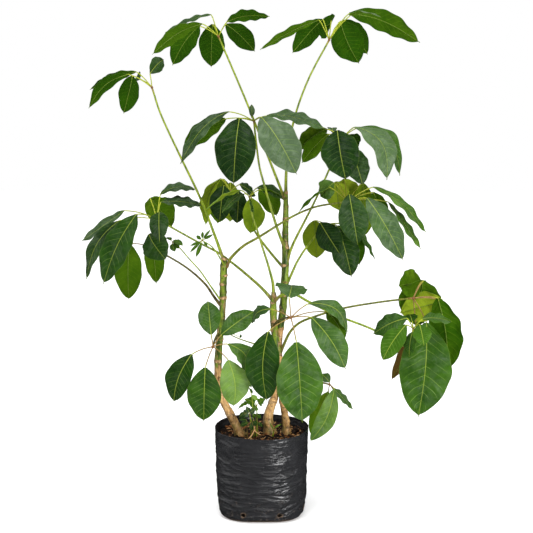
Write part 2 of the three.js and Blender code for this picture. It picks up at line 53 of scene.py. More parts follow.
BAG_HEIGHT = 239
SOIL_LEVEL = 215
DRAIN_RADIUS = 5.5
DRAIN_HEIGHT = 24
DRAIN_HOLES = 8
LEAF_STALK_RADIUS = 2.5
LEAF_STALK_FOOT = 4.6
LEAF_STALK_SWELL = 2.2
LEAFLET_STALK_RADIUS = 1.5
YOUNG_WIDTH = 40
YOUNG_SIZE = 0.6

# The bag's height, half width and squareness, from the floor up.
BAG_PROFILE = [
    (0, 106, 3.3),
    (6, 114, 3.1),
    (18, 119.5, 2.9),
    (40, 123, 2.7),
    (80, 125.5, 2.4),
    (130, 127, 2.2),
    (185, 128.5, 2.05),
    (BAG_HEIGHT, 131, 2),
]

# ---------------------------------------------------------------- places

# A place is [across, up, behind] in millimetres: where a person standing at EYE sees the point on a screen
# through AIM, and how far behind the bag's middle it really lies.
AIM = Vector((13.6, 0, 686)) * MM
EYE = Vector((13.6, -2970, 1110)) * MM
FRAME_WIDTH = 1450 * MM  # how much of that screen the photograph shows
SCREEN_DISTANCE = (AIM - EYE).length
SIGHT = (AIM - EYE).normalized()
SCREEN_UP = Vector((0, -SIGHT.z, SIGHT.y))


def place(spot):
    """The point of the plant at a place."""
    across, up, behind = [value * MM for value in spot]
    ray = SIGHT + SCREEN_UP * ((up - AIM.z) / SCREEN_DISTANCE)
    ray.x += (across - AIM.x) / SCREEN_DISTANCE
    return EYE + ray * ((behind - EYE.y) / ray.y)


# ---------------------------------------------------------------- the plant

# A stem: its name, its middle line from inside the soil upwards, and its radius at each of those places.
STEMS = [
    ["stem_left",
     [[-38, 150, -15], [-55, 222, -15], [-70, 255, -15], [-88, 290, -14], [-103, 318, -13],
      [-114, 348, -12], [-118, 400, -11], [-117, 450, -10], [-112, 510, -10], [-107, 560, -10],
      [-105, 600, -10], [-104, 640, -10], [-103, 680, -10], [-101, 712, -10]],
     [13, 13, 12.5, 11.5, 11, 11, 11, 10.5, 10, 9.6, 9.6, 9.8, 10, 7]],
    ["stem_tall",
     [[26, 150, 0], [25, 228, 0], [19, 250, 0], [18, 275, 2], [24, 300, 5], [37, 336, 9], [43, 400, 14],
      [46, 460, 17], [49, 510, 16], [57, 560, 10], [62, 620, 4], [65, 700, 0], [65, 770, 0], [66, 830, 0],
      [66, 892, 0]],
     [17, 18, 15, 14, 12.5, 10.8, 10.2, 10.2, 10.3, 10.6, 10.6, 10, 9, 8, 5.5]],
    ["stem_short",
     [[72, 150, 12], [69, 228, 12], [67, 255, 10], [61, 300, 4], [54, 345, -4], [50, 400, -10],
      [47, 445, -14], [39, 485, -16], [34, 525, -16], [32, 570, -16], [33, 616, -16]],
     [12, 12.5, 11, 10.3, 9.6, 9.5, 9.7, 9.8, 10, 9.8, 6.5]],
]

# How high up each stem its old leaf scars are, and from where on its bark is green, on the same screen.
SCARS = {
    "stem_left": [225, 288, 345, 392, 432, 490, 550, 603, 618, 640, 664, 690, 708],
    "stem_tall": [262, 318, 372, 455, 492, 515, 575, 610, 645, 690, 738, 776, 815, 850, 876, 888],
    "stem_short": [262, 318, 365, 420, 452, 482, 515, 540, 565, 590, 608],
}
GREEN_FROM = {"stem_left": 424, "stem_tall": 520, "stem_short": 452}

# A leaf: its name, its age, the places of its long stalk, and its leaflets. A leaflet is its base, its tip,
# its width, how far its upper face is turned from facing the eye, how high its midrib bows, and, where it
# bends sideways, how far, both as a share of its length.
LEAVES = [
    ["leaf_top_left", "fresh",
     [[66, 862, 0], [54, 893, 4], [18, 985, 8], [-27, 1100, 14], [-73, 1210, 26], [-117, 1312, 40]],
     [[[-137, 1371, 60], [-262, 1322, 100], 46, -62, 0.05],
      [[-161, 1346, 25], [-297, 1263, 0], 48, -125, 0.12],
      [[-170, 1340, 50], [-242, 1233, 75], 66, -150, 0.08, -0.04],
      [[-133, 1345, 75], [-137, 1228, 110], 72, 175, 0.08, -0.02],
      [[-97, 1345, 65], [-18, 1271, 90], 62, 145, 0.1],
      [[-94, 1352, 30], [22, 1366, 10], 54, 112, 0.1]]],
    ["leaf_top_right", "fresh",
     [[66, 868, 0], [67, 935, 2], [71, 990, 4], [83, 1062, 8], [102, 1130, 12], [133, 1207, 16],
      [184, 1302, 20]],
     [[[156, 1357, 10], [-4, 1276, -20], 42, -108, 0.04],
      [[167, 1358, 40], [84, 1267, 80], 58, -150, 0.14, 0.03],
      [[190, 1354, 60], [150, 1334, 150], 72, 160, 0.1],
      [[214, 1353, 40], [265, 1238, 80], 88, 168, 0.08, -0.04],
      [[222, 1356, 75], [289, 1263, 140], 62, 155, 0.1],
      [[238, 1374, 5], [431, 1295, -30], 66, 135, 0.15],
      [[240, 1368, -15], [325, 1364, -110], 42, 75, 0.08]]],
    ["leaf_far_left", "fresh",
     [[-100, 694, -10], [-125, 765, -2], [-167, 873, 12], [-223, 990, 30], [-274, 1100, 48],
      [-298, 1173, 60]],
     [[[-341, 1216, 80], [-467, 1167, 115], 42, -115, 0.06],
      [[-362, 1209, 45], [-470, 1116, 30], 46, -125, 0.1, -0.09],
      [[-351, 1205, 90], [-375, 1102, 130], 58, 175, 0.08, -0.01],
      [[-331, 1195, 110], [-338, 1198, 190], 38, 10, 0.08],
      [[-303, 1212, 75], [-266, 1249, 130], 42, -25, 0.08, -0.06]]],
    ["leaf_high_centre", "old",
     [[64, 735, 0], [48, 775, -14], [30, 830, -24], [10, 900, -32], [-5, 955, -36], [-14, 1020, -38],
      [-21, 1082, -40]],
     [[[-88, 1107, -60], [-220, 965, -80], 62, -52, 0.13],
      [[-98, 1088, -25], [-213, 1004, 10], 62, -140, 0.1],
      [[-60, 1088, -85], [-76, 909, -140], 109, -8, 0.1],
      [[-1, 1092, -80], [96, 936, -130], 100, 15, 0.12],
      [[14, 1096, -45], [172, 1061, -70], 76, 59, 0.08],
      [[-27, 1093, -50], [-27, 1127, -46], 17, -20, 0.08]]],
    ["leaf_high_right", "old",
     [[68, 690, 0], [77, 725, -10], [93, 762, -20], [122, 818, -32], [148, 870, -40], [182, 945, -50],
      [220, 1035, -60]],
     [[[178, 1060, -40], [100, 1004, -10], 58, -140, 0.12],
      [[182, 1046, -62], [110, 968, -60], 50, -150, 0.1],
      [[194, 1050, -20], [190, 1062, 60], 26, 0, 0.08],
      [[206, 1056, -105], [229, 921, -165], 99, 0, 0.08, 0.02],
      [[241, 1010, -95], [275, 907, -125], 66, 10, 0.08],
      [[240, 1045, -20], [258, 1004, 40], 48, 165, 0.08],
      [[253, 1065, -85], [341, 922, -115], 92, 42, 0.2, -0.13],
      [[261, 1063, -45], [376, 933, -50], 66, 48, 0.21, -0.14]]],
    ["leaf_mid_right", "old",
     [[-95, 684, -12], [-84, 708, -22], [-49, 742, -34], [-9, 765, -44], [60, 808, -62], [100, 830, -75],
      [150, 849, -92], [210, 859, -112], [235, 862, -120]],
     [[[197, 914, -105], [160, 876, -82], 56, -25, 0.1],
      [[185, 902, -112], [101, 833, -90], 50, -92, 0.06],
      [[204, 917, -70], [211, 838, -30], 64, 178, 0.08],
      [[224, 924, -60], [240, 850, -10], 68, 172, 0.08],
      [[275, 914, -75], [282, 768, -60], 60, 170, 0.08],
      [[239, 882, -150], [262, 745, -185], 76, -4, 0.1],
      [[287, 872, -140], [386, 702, -180], 74, 15, 0.08],
      [[303, 902, -115], [447, 779, -120], 54, 60, 0.11, 0.04],
      [[344, 862, -105], [434, 733, -120], 44, 60, 0.04, 0.05],
      [[304, 888, -90], [338, 807, -70], 42, 160, 0.08]]],
    ["leaf_mid_right_back", "old",
     [[66, 632, 3], [77, 655, 4], [101, 706, 6], [142, 764, 8], [176, 800, 10]],
     [[[144, 811, 30], [151, 707, 45], 72, 180, 0.08],
      [[160, 805, -20], [212, 722, -45], 70, -8, 0.12],
      [[206, 797, -10], [245, 657, -30], 78, 8, 0.1],
      [[218, 802, 25], [267, 690, 30], 74, 162, 0.08],
      [[245, 797, 22], [309, 704, 45], 50, 68, 0.06]]],
    ["leaf_mid_left", "old",
     [[32, 592, -16], [0, 628, 4], [-50, 672, 20], [-85, 700, 26], [-115, 722, 26], [-172, 752, 16],
      [-246, 793, 0], [-285, 815, -10]],
     [[[-373, 838, 5], [-489, 755, 35], 54, -56, 0],
      [[-386, 811, -25], [-476, 651, -40], 62, -44, 0.06, 0.12],
      [[-340, 828, -50], [-430, 638, -80], 80, -18, 0.06, 0.03],
      [[-303, 872, 30], [-243, 794, 110], 80, 172, 0.1],
      [[-275, 882, 40], [-179, 896, 80], 54, 62, 0.14],
      [[-274, 861, 20], [-162, 853, 40], 62, 62, 0.05],
      [[-278, 834, -35], [-277, 752, -110], 52, 0, 0.12]]],
    ["leaf_lower_left", "old",
     [[-106, 574, -10], [-128, 602, -4], [-153, 638, 4], [-200, 680, 18], [-258, 716, 32], [-310, 742, 40]],
     [[[-360, 747, 50], [-361, 594, 60], 78, 178, 0.08, -0.03],
      [[-301, 764, 60], [-286, 639, 70], 56, 172, 0.08],
      [[-306, 774, 15], [-260, 704, -20], 76, -12, 0.15]]],
    ["leaf_young_left", "fresh",
     [[-107, 588, -10], [-128, 618, -24], [-142, 638, -20], [-167, 674, -12], [-196, 706, 0],
      [-224, 738, 8], [-242, 752, 8]],
     [[[-240, 757, 4], [-214, 743, -25], 18, 40, 0.1],
      [[-243, 748, 4], [-236, 727, -15], 20, 0, 0.1],
      [[-246, 757, 12], [-257, 766, 25], 16, -50, 0.1],
      [[-238, 751, 5], [-225, 735, -8], 18, 15, 0.1]]],
    ["young_sprig", "fresh",
     [[-101, 688, -12], [-110, 704, -30], [-133, 738, -34], [-161, 757, -28]],
     [[[-158, 762, -25], [-139, 786, -30], 7, 10, 0.05],
      [[-156, 760, -26], [-132, 773, -34], 8, 10, 0.05],
      [[-161, 763, -24], [-160, 781, -20], 8, 0, 0.05],
      [[-165, 760, -25], [-177, 770, -22], 10, 0, 0.05],
      [[-167, 754, -26], [-194, 742, -30], 7, -10, 0.05],
      [[-166, 752, -28], [-195, 724, -36], 8, -10, 0.05],
      [[-163, 750, -28], [-178, 712, -40], 11, 0, 0.05],
      [[-157, 753, -28], [-147, 743, -36], 7, 10, 0.05]]],
    ["leaf_mid_centre", "old",
     [[33, 600, -16], [31, 640, -18], [25, 665, -18], [15, 700, -18], [2, 740, -18], [-10, 780, -19],
      [-25, 824, -20], [-33, 876, -20]],
     [[[-3, 896, 0], [41, 823, 40], 60, 150, 0.14],
      [[-12, 900, 14], [70, 868, 50], 44, 46, 0.1],
      [[-26, 872, 15], [-31, 775, 45], 62, 172, 0.06, 0.06],
      [[-31, 866, -38], [-29, 836, -90], 30, 75, 0.05],
      [[-55, 893, -30], [-150, 840, -60], 46, -98, 0.08],
      [[-47, 884, -48], [-107, 833, -90], 42, -60, 0.08]]],
    ["leaf_back_centre", "old",
     [[64, 680, 0], [46, 698, 24], [0, 755, 55], [-22, 788, 68], [-45, 828, 80], [-85, 890, 100]],
     [[[-111, 925, 100], [-151, 798, 90], 66, -115, 0.15],
      [[-102, 906, 65], [-114, 808, 40], 66, -5, 0.12],
      [[-104, 924, 135], [-120, 802, 170], 80, 178, 0.06],
      [[-84, 914, 130], [-86, 806, 150], 60, 175, 0.06],
      [[-64, 893, 85], [-67, 802, 70], 56, 12, 0.1],
      [[-60, 909, 110], [-16, 878, 150], 40, 50, 0.05]]],
    ["leaf_far_right", "old",
     [[47, 440, 17], [61, 474, 8], [78, 508, -4], [102, 532, -16], [137, 547, -34], [200, 567, -72],
      [250, 578, -104], [300, 586, -134], [350, 593, -164], [413, 600, -200]],
     [[[434, 645, -172], [373, 634, -140], 78, 172, 0.1],
      [[440, 648, -180], [420, 522, -128], 110, 174, 0.08],
      [[494, 592, -188], [376, 560, -150], 78, 176, 0.06],
      [[480, 600, -200], [508, 404, -190], 92, 146, 0.03, 0.03],
      [[449, 533, -212], [426, 276, -245], 133, 2, 0.06, -0.02],
      [[420, 516, -192], [353, 376, -188], 38, -160, 0.06, 0.05]]],
    ["leaf_young_right", "fresh",
     [[34, 590, -18], [55, 608, -36], [88, 611, -58], [125, 592, -86], [205, 553, -142], [300, 516, -204],
      [345, 490, -230], [388, 470, -254], [405, 484, -260], [413, 517, -258]],
     [[[396, 545, -256], [304, 502, -235], 56, -38, 0.12],
      [[393, 527, -268], [329, 430, -280], 54, -15, 0.1, 0.03],
      [[411, 508, -270], [402, 440, -275], 36, -40, 0.08],
      [[438, 543, -258], [518, 536, -240], 48, 62, 0.08],
      [[430, 528, -276], [442, 471, -300], 46, 4, 0.08],
      [[410, 536, -242], [402, 556, -196], 36, 0, 0.08]]],
    ["leaf_front_centre", "mid",
     [[33, 522, -16], [45, 538, -100], [65, 546, -190], [80, 547, -270]],
     [[[75, 602, -262], [83, 634, -185], 82, 5, 0.12],
      [[25, 570, -265], [-26, 532, -235], 44, -58, 0.22],
      [[18, 508, -285], [15, 320, -290], 90, -12, 0.1, 0.05],
      [[95, 480, -295], [111, 262, -318], 118, 3, 0.08],
      [[137, 547, -280], [229, 407, -290], 68, 12, 0.08, -0.04],
      [[128, 585, -268], [234, 508, -250], 46, 42, 0.34],
      [[178, 563, -262], [223, 480, -248], 42, 165, 0.06, 0.08]]],
    ["leaf_front_left", "mid",
     [[-113, 495, -10], [-118, 502, -90], [-127, 487, -175], [-132, 468, -250]],
     [[[-137, 501, -245], [-146, 593, -205], 58, -3, 0.06],
      [[-109, 500, -235], [-19, 565, -180], 56, 22, 0.06],
      [[-91, 475, -250], [-37, 396, -240], 54, 35, 0.32, -0.06],
      [[-90, 431, -258], [-76, 305, -265], 75, 5, 0.08, -0.08],
      [[-153, 411, -262], [-157, 265, -275], 86, -2, 0.08],
      [[-190, 447, -255], [-239, 317, -260], 66, -10, 0.1, 0.06]]],
    ["leaf_low_right", "mid",
     [[52, 368, -8], [90, 380, -10], [140, 376, -16], [185, 365, -20]],
     [[[185, 371, -12], [163, 394, 15], 30, -20, 0.1],
      [[192, 357, -20], [249, 297, -30], 42, 64, 0.02],
      [[198, 352, -40], [131, 209, -66], 52, -12, 0.1, -0.1],
      [[182, 346, -4], [133, 227, 10], 46, -165, 0.06]]],
    ["bare_stalk", "old",
     [[45, 452, -12], [14, 466, 4], [-20, 476, 8], [-57, 488, 8], [-78, 497, 6], [-96, 507, 4]],
     [[[-57, 492, 8], [-56, 502, 8], 6, 0, 0.05]]],
]

# Weeds in the soil, written as the leaves are.
WEEDS = [
    ["weed_bright", "fresh",
     [[-14, 200, -22], [-13, 235, -22], [-12, 270, -22], [-13, 308, -22]],
     [[[-18, 315, -22], [-46, 325, -18], 35, -30, 0.1],
      [[-8, 313, -24], [12, 328, -30], 27, 30, 0.1],
      [[-14, 305, -26], [-27, 294, -36], 24, -10, 0.1],
      [[-38, 316, -16], [-65, 298, -10], 15, -50, 0.1]]],
    ["weed_dark", "old",
     [[-28, 196, -48], [-28, 228, -48], [-29, 255, -46], [-32, 283, -42]],
     [[[-37, 288, -41], [-61, 275, -40], 24, -25, 0.12],
      [[-31, 288, -42], [-14, 300, -48], 22, 20, 0.12],
      [[-33, 289, -40], [-42, 306, -36], 20, -10, 0.12],
      [[-27, 262, -48], [-14, 252, -58], 16, 15, 0.12]]],
    ["grass_tuft", "fresh",
     [[30, 200, -24], [31, 220, -24], [32, 232, -25], [33, 240, -26]],
     [[[34, 242, -26], [54, 257, -34], 5, 40, 0.2],
      [[32, 243, -27], [22, 262, -36], 4, 0, 0.15]]],
]

# How each leaf looks: for each leaflet how light it is, from 0 to 1, which in part paints the light and shade
# that fall on it and the light that shines through an underside; how dusty its upper face is, from 0 to 1,
# which in part paints a sheen of mirrored light, or how dried it is, from 1 up; and how brown the leaf's long
# stalk is.
LOOKS = {
    "leaf_top_left": ([(0.35, 0.4), (0.5, 0.1), (0.32, 0), (0.32, 0), (0.3, 0), (0.36, 0.1)], 0.1),
    "leaf_top_right": ([(0.55, 0.2), (0.3, 0.2), (0.3, 0.2), (0.32, 0), (0.3, 0.1), (0.48, 0.1),
                        (0.6, 1)], 0.15),
    "leaf_far_left": ([(0.36, 0.4), (0.34, 0.2), (0.3, 0.1), (0.3, 0.3), (0.3, 0.4)], 0.1),
    "leaf_high_centre": ([(0.12, 0.5), (0.5, 0), (0.04, 0.08), (0.3, 1), (0.3, 0.7), (0.12, 0.5)], 0.1),
    "leaf_high_right": ([(0.66, 0), (0.6, 0), (0.3, 0.8), (0.03, 0.06), (0.15, 0.3), (0.2, 0), (0.45, 1.0),
                         (0.46, 0.3)], 0.2),
    "leaf_mid_right": ([(0.62, 0.4), (0.4, 0.3), (0.95, 0), (0.9, 0), (0.75, 0), (0.2, 0.3), (0.36, 0.75),
                        (0.58, 0.25), (0.62, 0.3), (0.5, 0.2)], 0.55),
    "leaf_mid_right_back": ([(0.85, 0), (0.03, 0.08), (0.16, 0.2), (0.4, 0), (0.42, 0.25)], 0.1),
    "leaf_mid_left": ([(0.25, 0.6), (0.12, 0.25), (0.22, 0.15), (0.62, 0), (0.25, 0.5), (0.2, 0.5),
                       (0.1, 0.2)], 0.25),
    "leaf_lower_left": ([(0.56, 0), (0.56, 0), (0.28, 0.25)], 0.9),
    "leaf_young_left": ([(0.4, 0.3), (0.45, 0.1), (0.4, 0.1), (0.4, 0.1)], 0.0),
    "young_sprig": ([(0.5, 0)] * 8, 0.0),
    "leaf_mid_centre": ([(0.6, 0), (0.4, 0.4), (0.82, 0), (0.4, 0.2), (0.9, 0), (0.4, 0.35)], 0.1),
    "leaf_back_centre": ([(0.95, 0), (0.08, 0.1), (0.7, 0), (0.95, 0), (0.12, 0.12), (0.2, 0.2)], 0.2),
    "leaf_far_right": ([(0.6, 0), (0.55, 0), (0.95, 0), (0.42, 0), (0.44, 0.15), (0.5, 1.7)], 0.6),
    "leaf_young_right": ([(0.36, 0.2), (0.46, 0), (0.36, 0.1), (0.45, 0.3), (0.5, 0), (0.3, 0)], 0.0),
    "leaf_front_centre": ([(0.35, 0.6), (0.2, 0.4), (0.2, 0.12), (0.48, 0.3), (0.48, 0.5), (0.46, 0.5),
                           (0.5, 0)], 0.9),
    "leaf_front_left": ([(0.42, 0.35), (0.48, 0.35), (0.52, 0.4), (0.76, 0.5), (0.32, 0.1),
                         (0.15, 0.08)], 0.9),
    "leaf_low_right": ([(0.4, 0.4), (0.52, 0.5), (0.68, 0.5), (0.66, 1.1)], 0.9),
    "bare_stalk": ([(0.3, 0)], 0.5),
    "weed_bright": ([(0.62, 0)] * 4, 0.0),
    "weed_dark": ([(0.2, 0.5)] * 4, 0.3),
    "grass_tuft": ([(0.8, 0)] * 2, 0.0),
}
LOBED = {"weed_bright", "weed_dark"}

# ---------------------------------------------------------------- meshes

LAYERS = ["across", "along", "edge", "light", "dust", "sort"]


def new_mesh():
    """An empty bmesh with the values that the finishes read at each of its vertices."""
    bm = bmesh.new()
    for name in LAYERS:
        bm.verts.layers.float.new(name)
    return bm


def mark(bm, **values):
    """Sets some of those values all over a mesh: each is a number, or a rule from how far along it lies."""
    along = bm.verts.layers.float["along"]
    for name, value in values.items():
        layer = bm.verts.layers.float[name]
        for vert in bm.verts:
            vert[layer] = value(vert[along]) if callable(value) else value


def closed(bm):
    """Fills what is open of a mesh, and turns its faces outwards."""
    bmesh.ops.holes_fill(bm, edges=bm.edges[:], sides=0)
    bmesh.ops.recalc_face_normals(bm, faces=bm.faces)
    return bm


def of_kind(kind, items):
    return [item for item in items if isinstance(item, kind)]


def as_mesh(bm, name):
    mesh = bpy.data.meshes.new(name)
    bm.to_mesh(mesh)
    bm.free()
    return mesh


def take_in(bm, part, material=None):
    """Adds a finished part to a larger mesh."""
    if material is not None:
        for face in part.faces:
            face.material_index = material
    mesh = as_mesh(part, "part")
    bm.from_mesh(mesh)
    bpy.data.meshes.remove(mesh)


def set_out(name, data):
    """Puts a mesh, a lamp or the camera in the scene."""
    thing = bpy.data.objects.new(name, data)
    bpy.context.collection.objects.link(thing)
    return thing


def finished(bm, name, looks, slot, node=None):
    """The piece of a mesh, in these finishes, which rides with the plant and may stand for a solid."""
    for face in bm.faces:
        face.smooth = True
    piece = set_out(name, as_mesh(bm, name))
    for look in looks:
        piece.data.materials.append(FINISHES[look])
    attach(piece, "root")
    if node:
        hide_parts(node)
    return piece


def around(reach, angle, z):
    """The point this far from the bag's axis, in this direction and at this height."""
    return Vector((reach * math.cos(angle), reach * math.sin(angle), z))


def hump(away, width):
    """1 at no distance, and less and less beyond a width."""
    return math.exp(-((away / width) ** 2))


def clamped(value, low, high):
    return min(max(value, low), high)


def smooth_step(low, high, value):
    share = clamped((value - low) / (high - low), 0, 1)
    return share * share * (3 - 2 * share)


def bumps(spot, sizes):
    """How high a rough surface stands here. A size of bump is its height, and how many the metre holds."""
    return sum(height * noise.noise(spot * number) for height, number in sizes)


def sampled(values, share):
    """The value a share of the way along a list of values, drawn straight between them."""
    station = clamped(share, 0, 1) * (len(values) - 1)
    first = min(int(station), len(values) - 2)
    return values[first] + (values[first + 1] - values[first]) * (station - first)


def smooth_line(points, steps):
    """A smooth line through the points, with this many steps between each two."""
    ends = [points[0] * 2 - points[1], *points, points[-1] * 2 - points[-2]]
    line = []
    for before, start, stop, after in zip(ends, ends[1:], ends[2:], ends[3:]):
        span = (stop - start).length / 3
        leave = start + (stop - before).normalized() * span
        arrive = stop - (after - start).normalized() * span
        line += interpolate_bezier(start, leave, arrive, stop, steps + 1)[:-1]
    return [*line, points[-1].copy()]


def swept(line, radii, sides, **values):
    """A closed tube along a line: a ring extruded from point to point, turned and sized as it goes."""
    bm = new_mesh()
    along = bm.verts.layers.float["along"]
    heading = (line[1] - line[0]).normalized()
    turn = heading.to_track_quat("Z", "Y")
    here = Matrix.LocRotScale(line[0], turn, Vector((1, 1, 1)) * radii[0])
    ring = bmesh.ops.create_circle(bm, segments=sides, radius=1)["verts"]
    bmesh.ops.transform(bm, matrix=here, verts=ring)
    edges = list(bm.edges)
    travelled = 0
    for i in range(1, len(line)):
        travelled += (line[i] - line[i - 1]).length
        heading_now = (line[min(i + 1, len(line) - 1)] - line[i - 1]).normalized()
        turn = heading.rotation_difference(heading_now) @ turn
        heading = heading_now
        there = Matrix.LocRotScale(line[i], turn, Vector((1, 1, 1)) * radii[i])
        grown = bmesh.ops.extrude_edge_only(bm, edges=edges)["geom"]
        ring = set(of_kind(BMVert, grown))
        edges = [edge for edge in of_kind(BMEdge, grown) if ring.issuperset(edge.verts)]
        bmesh.ops.transform(bm, matrix=there @ here.inverted(), verts=list(ring))
        for vert in ring:
            vert[along] = travelled
        here = there
    mark(bm, **values)
    return closed(bm)


SHOOT_STEPS, SHOOT_SIDES = 5, 8


def shoot(spots, first, last, **values):
    """A thin tube through some places, tapered from its first radius to its last one, in millimetres."""
    line = smooth_line([place(spot) for spot in spots], SHOOT_STEPS)
    radii = [sampled([first, last], i / (len(line) - 1)) * MM for i in range(len(line))]
    return swept(line, radii, SHOOT_SIDES, **values)


# ---------------------------------------------------------------- leaflets

BLADE_THICKNESS = 0.6 * MM
BLADE_CELL = 3.4 * MM  # how long and wide the faces of a blade are
BLADE_COLUMNS = (2, 9)  # the fewest and the most of them on each side of the midrib
BLADE_ROWS, LOBED_ROWS = (8, 60), (20, 60)  # and along it
LEAST_HALF_WIDTH = 0.35 * MM
TIP_FROM = 0.97  # where a blade's body ends and its drip tip goes on, along its length
TIP_WIDTH = 0.13
FOLD = 0.30
DROOP = 0.24
MARGIN_WAVE = 0.045
MARGIN_NOISE = 0.05  # how far a blade's width and its height wander, as a share of its half width
VEINS = 11  # side veins on each side of a blade
VEIN_RISE, VEIN_BEND = 0.13, 0.05  # how far a side vein climbs to the margin: evenly, and by its bend
QUILTING = 0.05  # how far a blade swells between its veins, as a share of its half width
TIGHTER_ENDS = 0.35  # how much closer the rows of faces stand at a blade's ends
TWIST_FROM = 0.3  # the share of a blade's length where it isn't twisted
FULL_RIB_HALF = 20 * MM  # a blade narrower than this on each side has a midrib that is narrower too
LOBES = [0.5, 0.85, 1.0, 0.8, 0.62, 0.82, 0.66, 0.38, 0.3, 0.18, 0.0]  # a lobed blade, from base to tip
RIB_SPOTS = (0.05, 0.25, 0.45, 0.65, 0.82, 0.93)  # where the rib under a blade is held, along the blade
RIB_RADII = [1.25, 1.05, 0.8, 0.55, 0.3]
RIB_DEPTH = 0.3 * MM
STALK_STEPS = 8  # how many of a leaflet stalk's steps come before its blade
LEAFLET_STALK_SIDES = 7
STALK_SHARE = 0.95  # its radius, as a share of the solid's
STALK_SWELLS = ((0, 0.10, 0.45), (0.97, 0.12, 0.25))  # where along it, how far, and how much it is thicker
STALK_BOW = 0.06  # how far it bows upwards, as a share of its length


def blade_width(share, lobed):
    """How wide a blade is along its length, where 1 is its widest: a rounded body with a short drip tip."""
    if lobed:
        body = sampled(LOBES, share)
    else:
        body = max(math.sin(math.pi * min(share / TIP_FROM, 1) ** 1.02), 0) ** 0.64
    return max(body, TIP_WIDTH * smooth_step(1, 0.86, share))


class Leaflet:
    """The form of one leaflet: its midrib, and which way its face and its side point."""

    def __init__(self, row, look, seed, lobed=False):
        base, tip, width, turn, arch, bend = (*row, 0)[:6]
        # light in part paints the light and shade on the leaflet, and dust in part a painted sheen on its
        # upper face
        self.light, self.dust = look
        self.lobed = lobed
        self.start = place(base)
        self.chord = place(tip) - self.start
        self.length = self.chord.length
        self.half = width * MM / 2
        self.arch = arch * self.length
        self.bend = bend * self.length
        self.heading = self.chord.normalized()
        to_eye = (-SIGHT + self.heading * SIGHT.dot(self.heading)).normalized()
        roll = math.radians(turn)
        self.face = to_eye * math.cos(roll) + to_eye.cross(self.heading) * math.sin(roll)
        self.side = self.heading.cross(self.face)
        draw = random.Random(seed)
        self.phase = draw.uniform(0, 6.28)
        self.waves = draw.uniform(2.4, 4.2)
        self.twist = math.radians(draw.uniform(-12, 12))
        self.grain = Vector((seed * 3.1, seed * 1.7, 0))

    def midrib(self, share):
        share = clamped(share, 0, 1)
        bow = self.arch * math.sin(math.pi * share**0.85)
        sway = self.bend * math.sin(math.pi * share)
        return self.start + self.chord * share + self.face * bow + self.side * sway

    def half_width(self, share):
        return max(self.half * blade_width(share, self.lobed), LEAST_HALF_WIDTH)

    def point(self, share, across):
        """The point of the blade's middle surface, from -1 at its left margin to 1 at its right one."""
        half = self.half_width(share)
        half *= 1 + MARGIN_NOISE * noise.noise(self.grain + Vector((across * 0.8 + 5, share * 5, 0)))
        out = abs(across)
        wave = math.sin(self.phase + 2 * math.pi * self.waves * share + 1.3 * across) * out**2.2
        wave *= MARGIN_WAVE * 2 * self.half * min(half / self.half * 1.4, 1)
        uneven = noise.noise(self.grain + Vector((across * 2, share * 7, 7))) * smooth_step(0, 0.3, out)
        rise = share - VEIN_RISE * out - VEIN_BEND * out * out
        swell = abs(math.sin(math.pi * rise * VEINS)) * smooth_step(0, 0.15, out) * (1 - out)
        lift = half * (FOLD * out - DROOP * out * out) + wave
        lift += self.half * (MARGIN_NOISE * uneven + QUILTING * swell)
        turn = Quaternion(self.heading, self.twist * (share - TWIST_FROM))
        return self.midrib(share) + turn @ (self.side * (across * half) + self.face * lift)


def blade_mesh(form):
    """A blade: a grid laid on the leaflet's surface, with its own underside and rim."""
    bm = new_mesh()
    layers = [bm.verts.layers.float[name] for name in LAYERS]
    columns = 2 * clamped(round(form.half / BLADE_CELL), *BLADE_COLUMNS)
    fewest, most = LOBED_ROWS if form.lobed else BLADE_ROWS
    rows = clamped(round(form.length / BLADE_CELL), fewest, most)
    bmesh.ops.create_grid(bm, x_segments=columns, y_segments=rows, size=1)
    for vert in bm.verts:
        across = vert.co.x
        even = (vert.co.y + 1) / 2
        share = even + TIGHTER_ENDS * ((1 - math.cos(math.pi * even)) / 2 - even)
        vert.co = form.point(share, across)
        from_midrib = across * form.half_width(share) * max(1, FULL_RIB_HALF / form.half)
        for layer, value in zip(layers, (from_midrib, share, abs(across), form.light, form.dust)):
            vert[layer] = value
    bm.normal_update()
    if sum(face.normal.dot(form.face) for face in bm.faces) < 0:
        bmesh.ops.reverse_faces(bm, faces=bm.faces)
    rim = [edge for edge in bm.edges if edge.is_boundary]
    under = bmesh.ops.duplicate(bm, geom=bm.verts[:] + bm.edges[:] + bm.faces[:])["geom"]
    faces = of_kind(BMFace, under)
    bm.normal_update()
    for vert in of_kind(BMVert, under):
        vert.co -= vert.normal * BLADE_THICKNESS
    bmesh.ops.reverse_faces(bm, faces=faces)
    for face in faces:
        face.material_index = 1
    rim += [edge for edge in of_kind(BMEdge, under) if edge.is_boundary]
    bmesh.ops.bridge_loops(bm, edges=rim)
    for edge in rim:
        edge.smooth = False
    return bm


def leaflet_stalk(whorl, form, size, brown):
    """A leaflet's own stalk, which runs on as the raised rib under its blade."""
    span = (whorl - form.start).length
    middle = (whorl + form.start) / 2 + UP * (STALK_BOW * span)
    under = form.face * (BLADE_THICKNESS + RIB_DEPTH)
    rib = [form.midrib(share) - under for share in RIB_SPOTS]
    line = smooth_line([whorl, middle, form.start - under * 0.4, *rib], STALK_STEPS // 2)
    radii = []
    for i in range(STALK_STEPS):
        swelling = 1 + sum(much * hump(i / STALK_STEPS - spot, width) for spot, width, much in STALK_SWELLS)
        radii.append(STALK_SHARE * LEAFLET_STALK_RADIUS * swelling)
    rib_steps = len(line) - 1 - STALK_STEPS
    radii += [sampled(RIB_RADII, i / rib_steps) for i in range(rib_steps + 1)]
    radii = [radius * size * MM for radius in radii]
    reach = max(span, 1 * MM)
    return swept(line, radii, LEAFLET_STALK_SIDES, edge=lambda along: min(along / reach, 2), sort=brown)


# ---------------------------------------------------------------- leaves

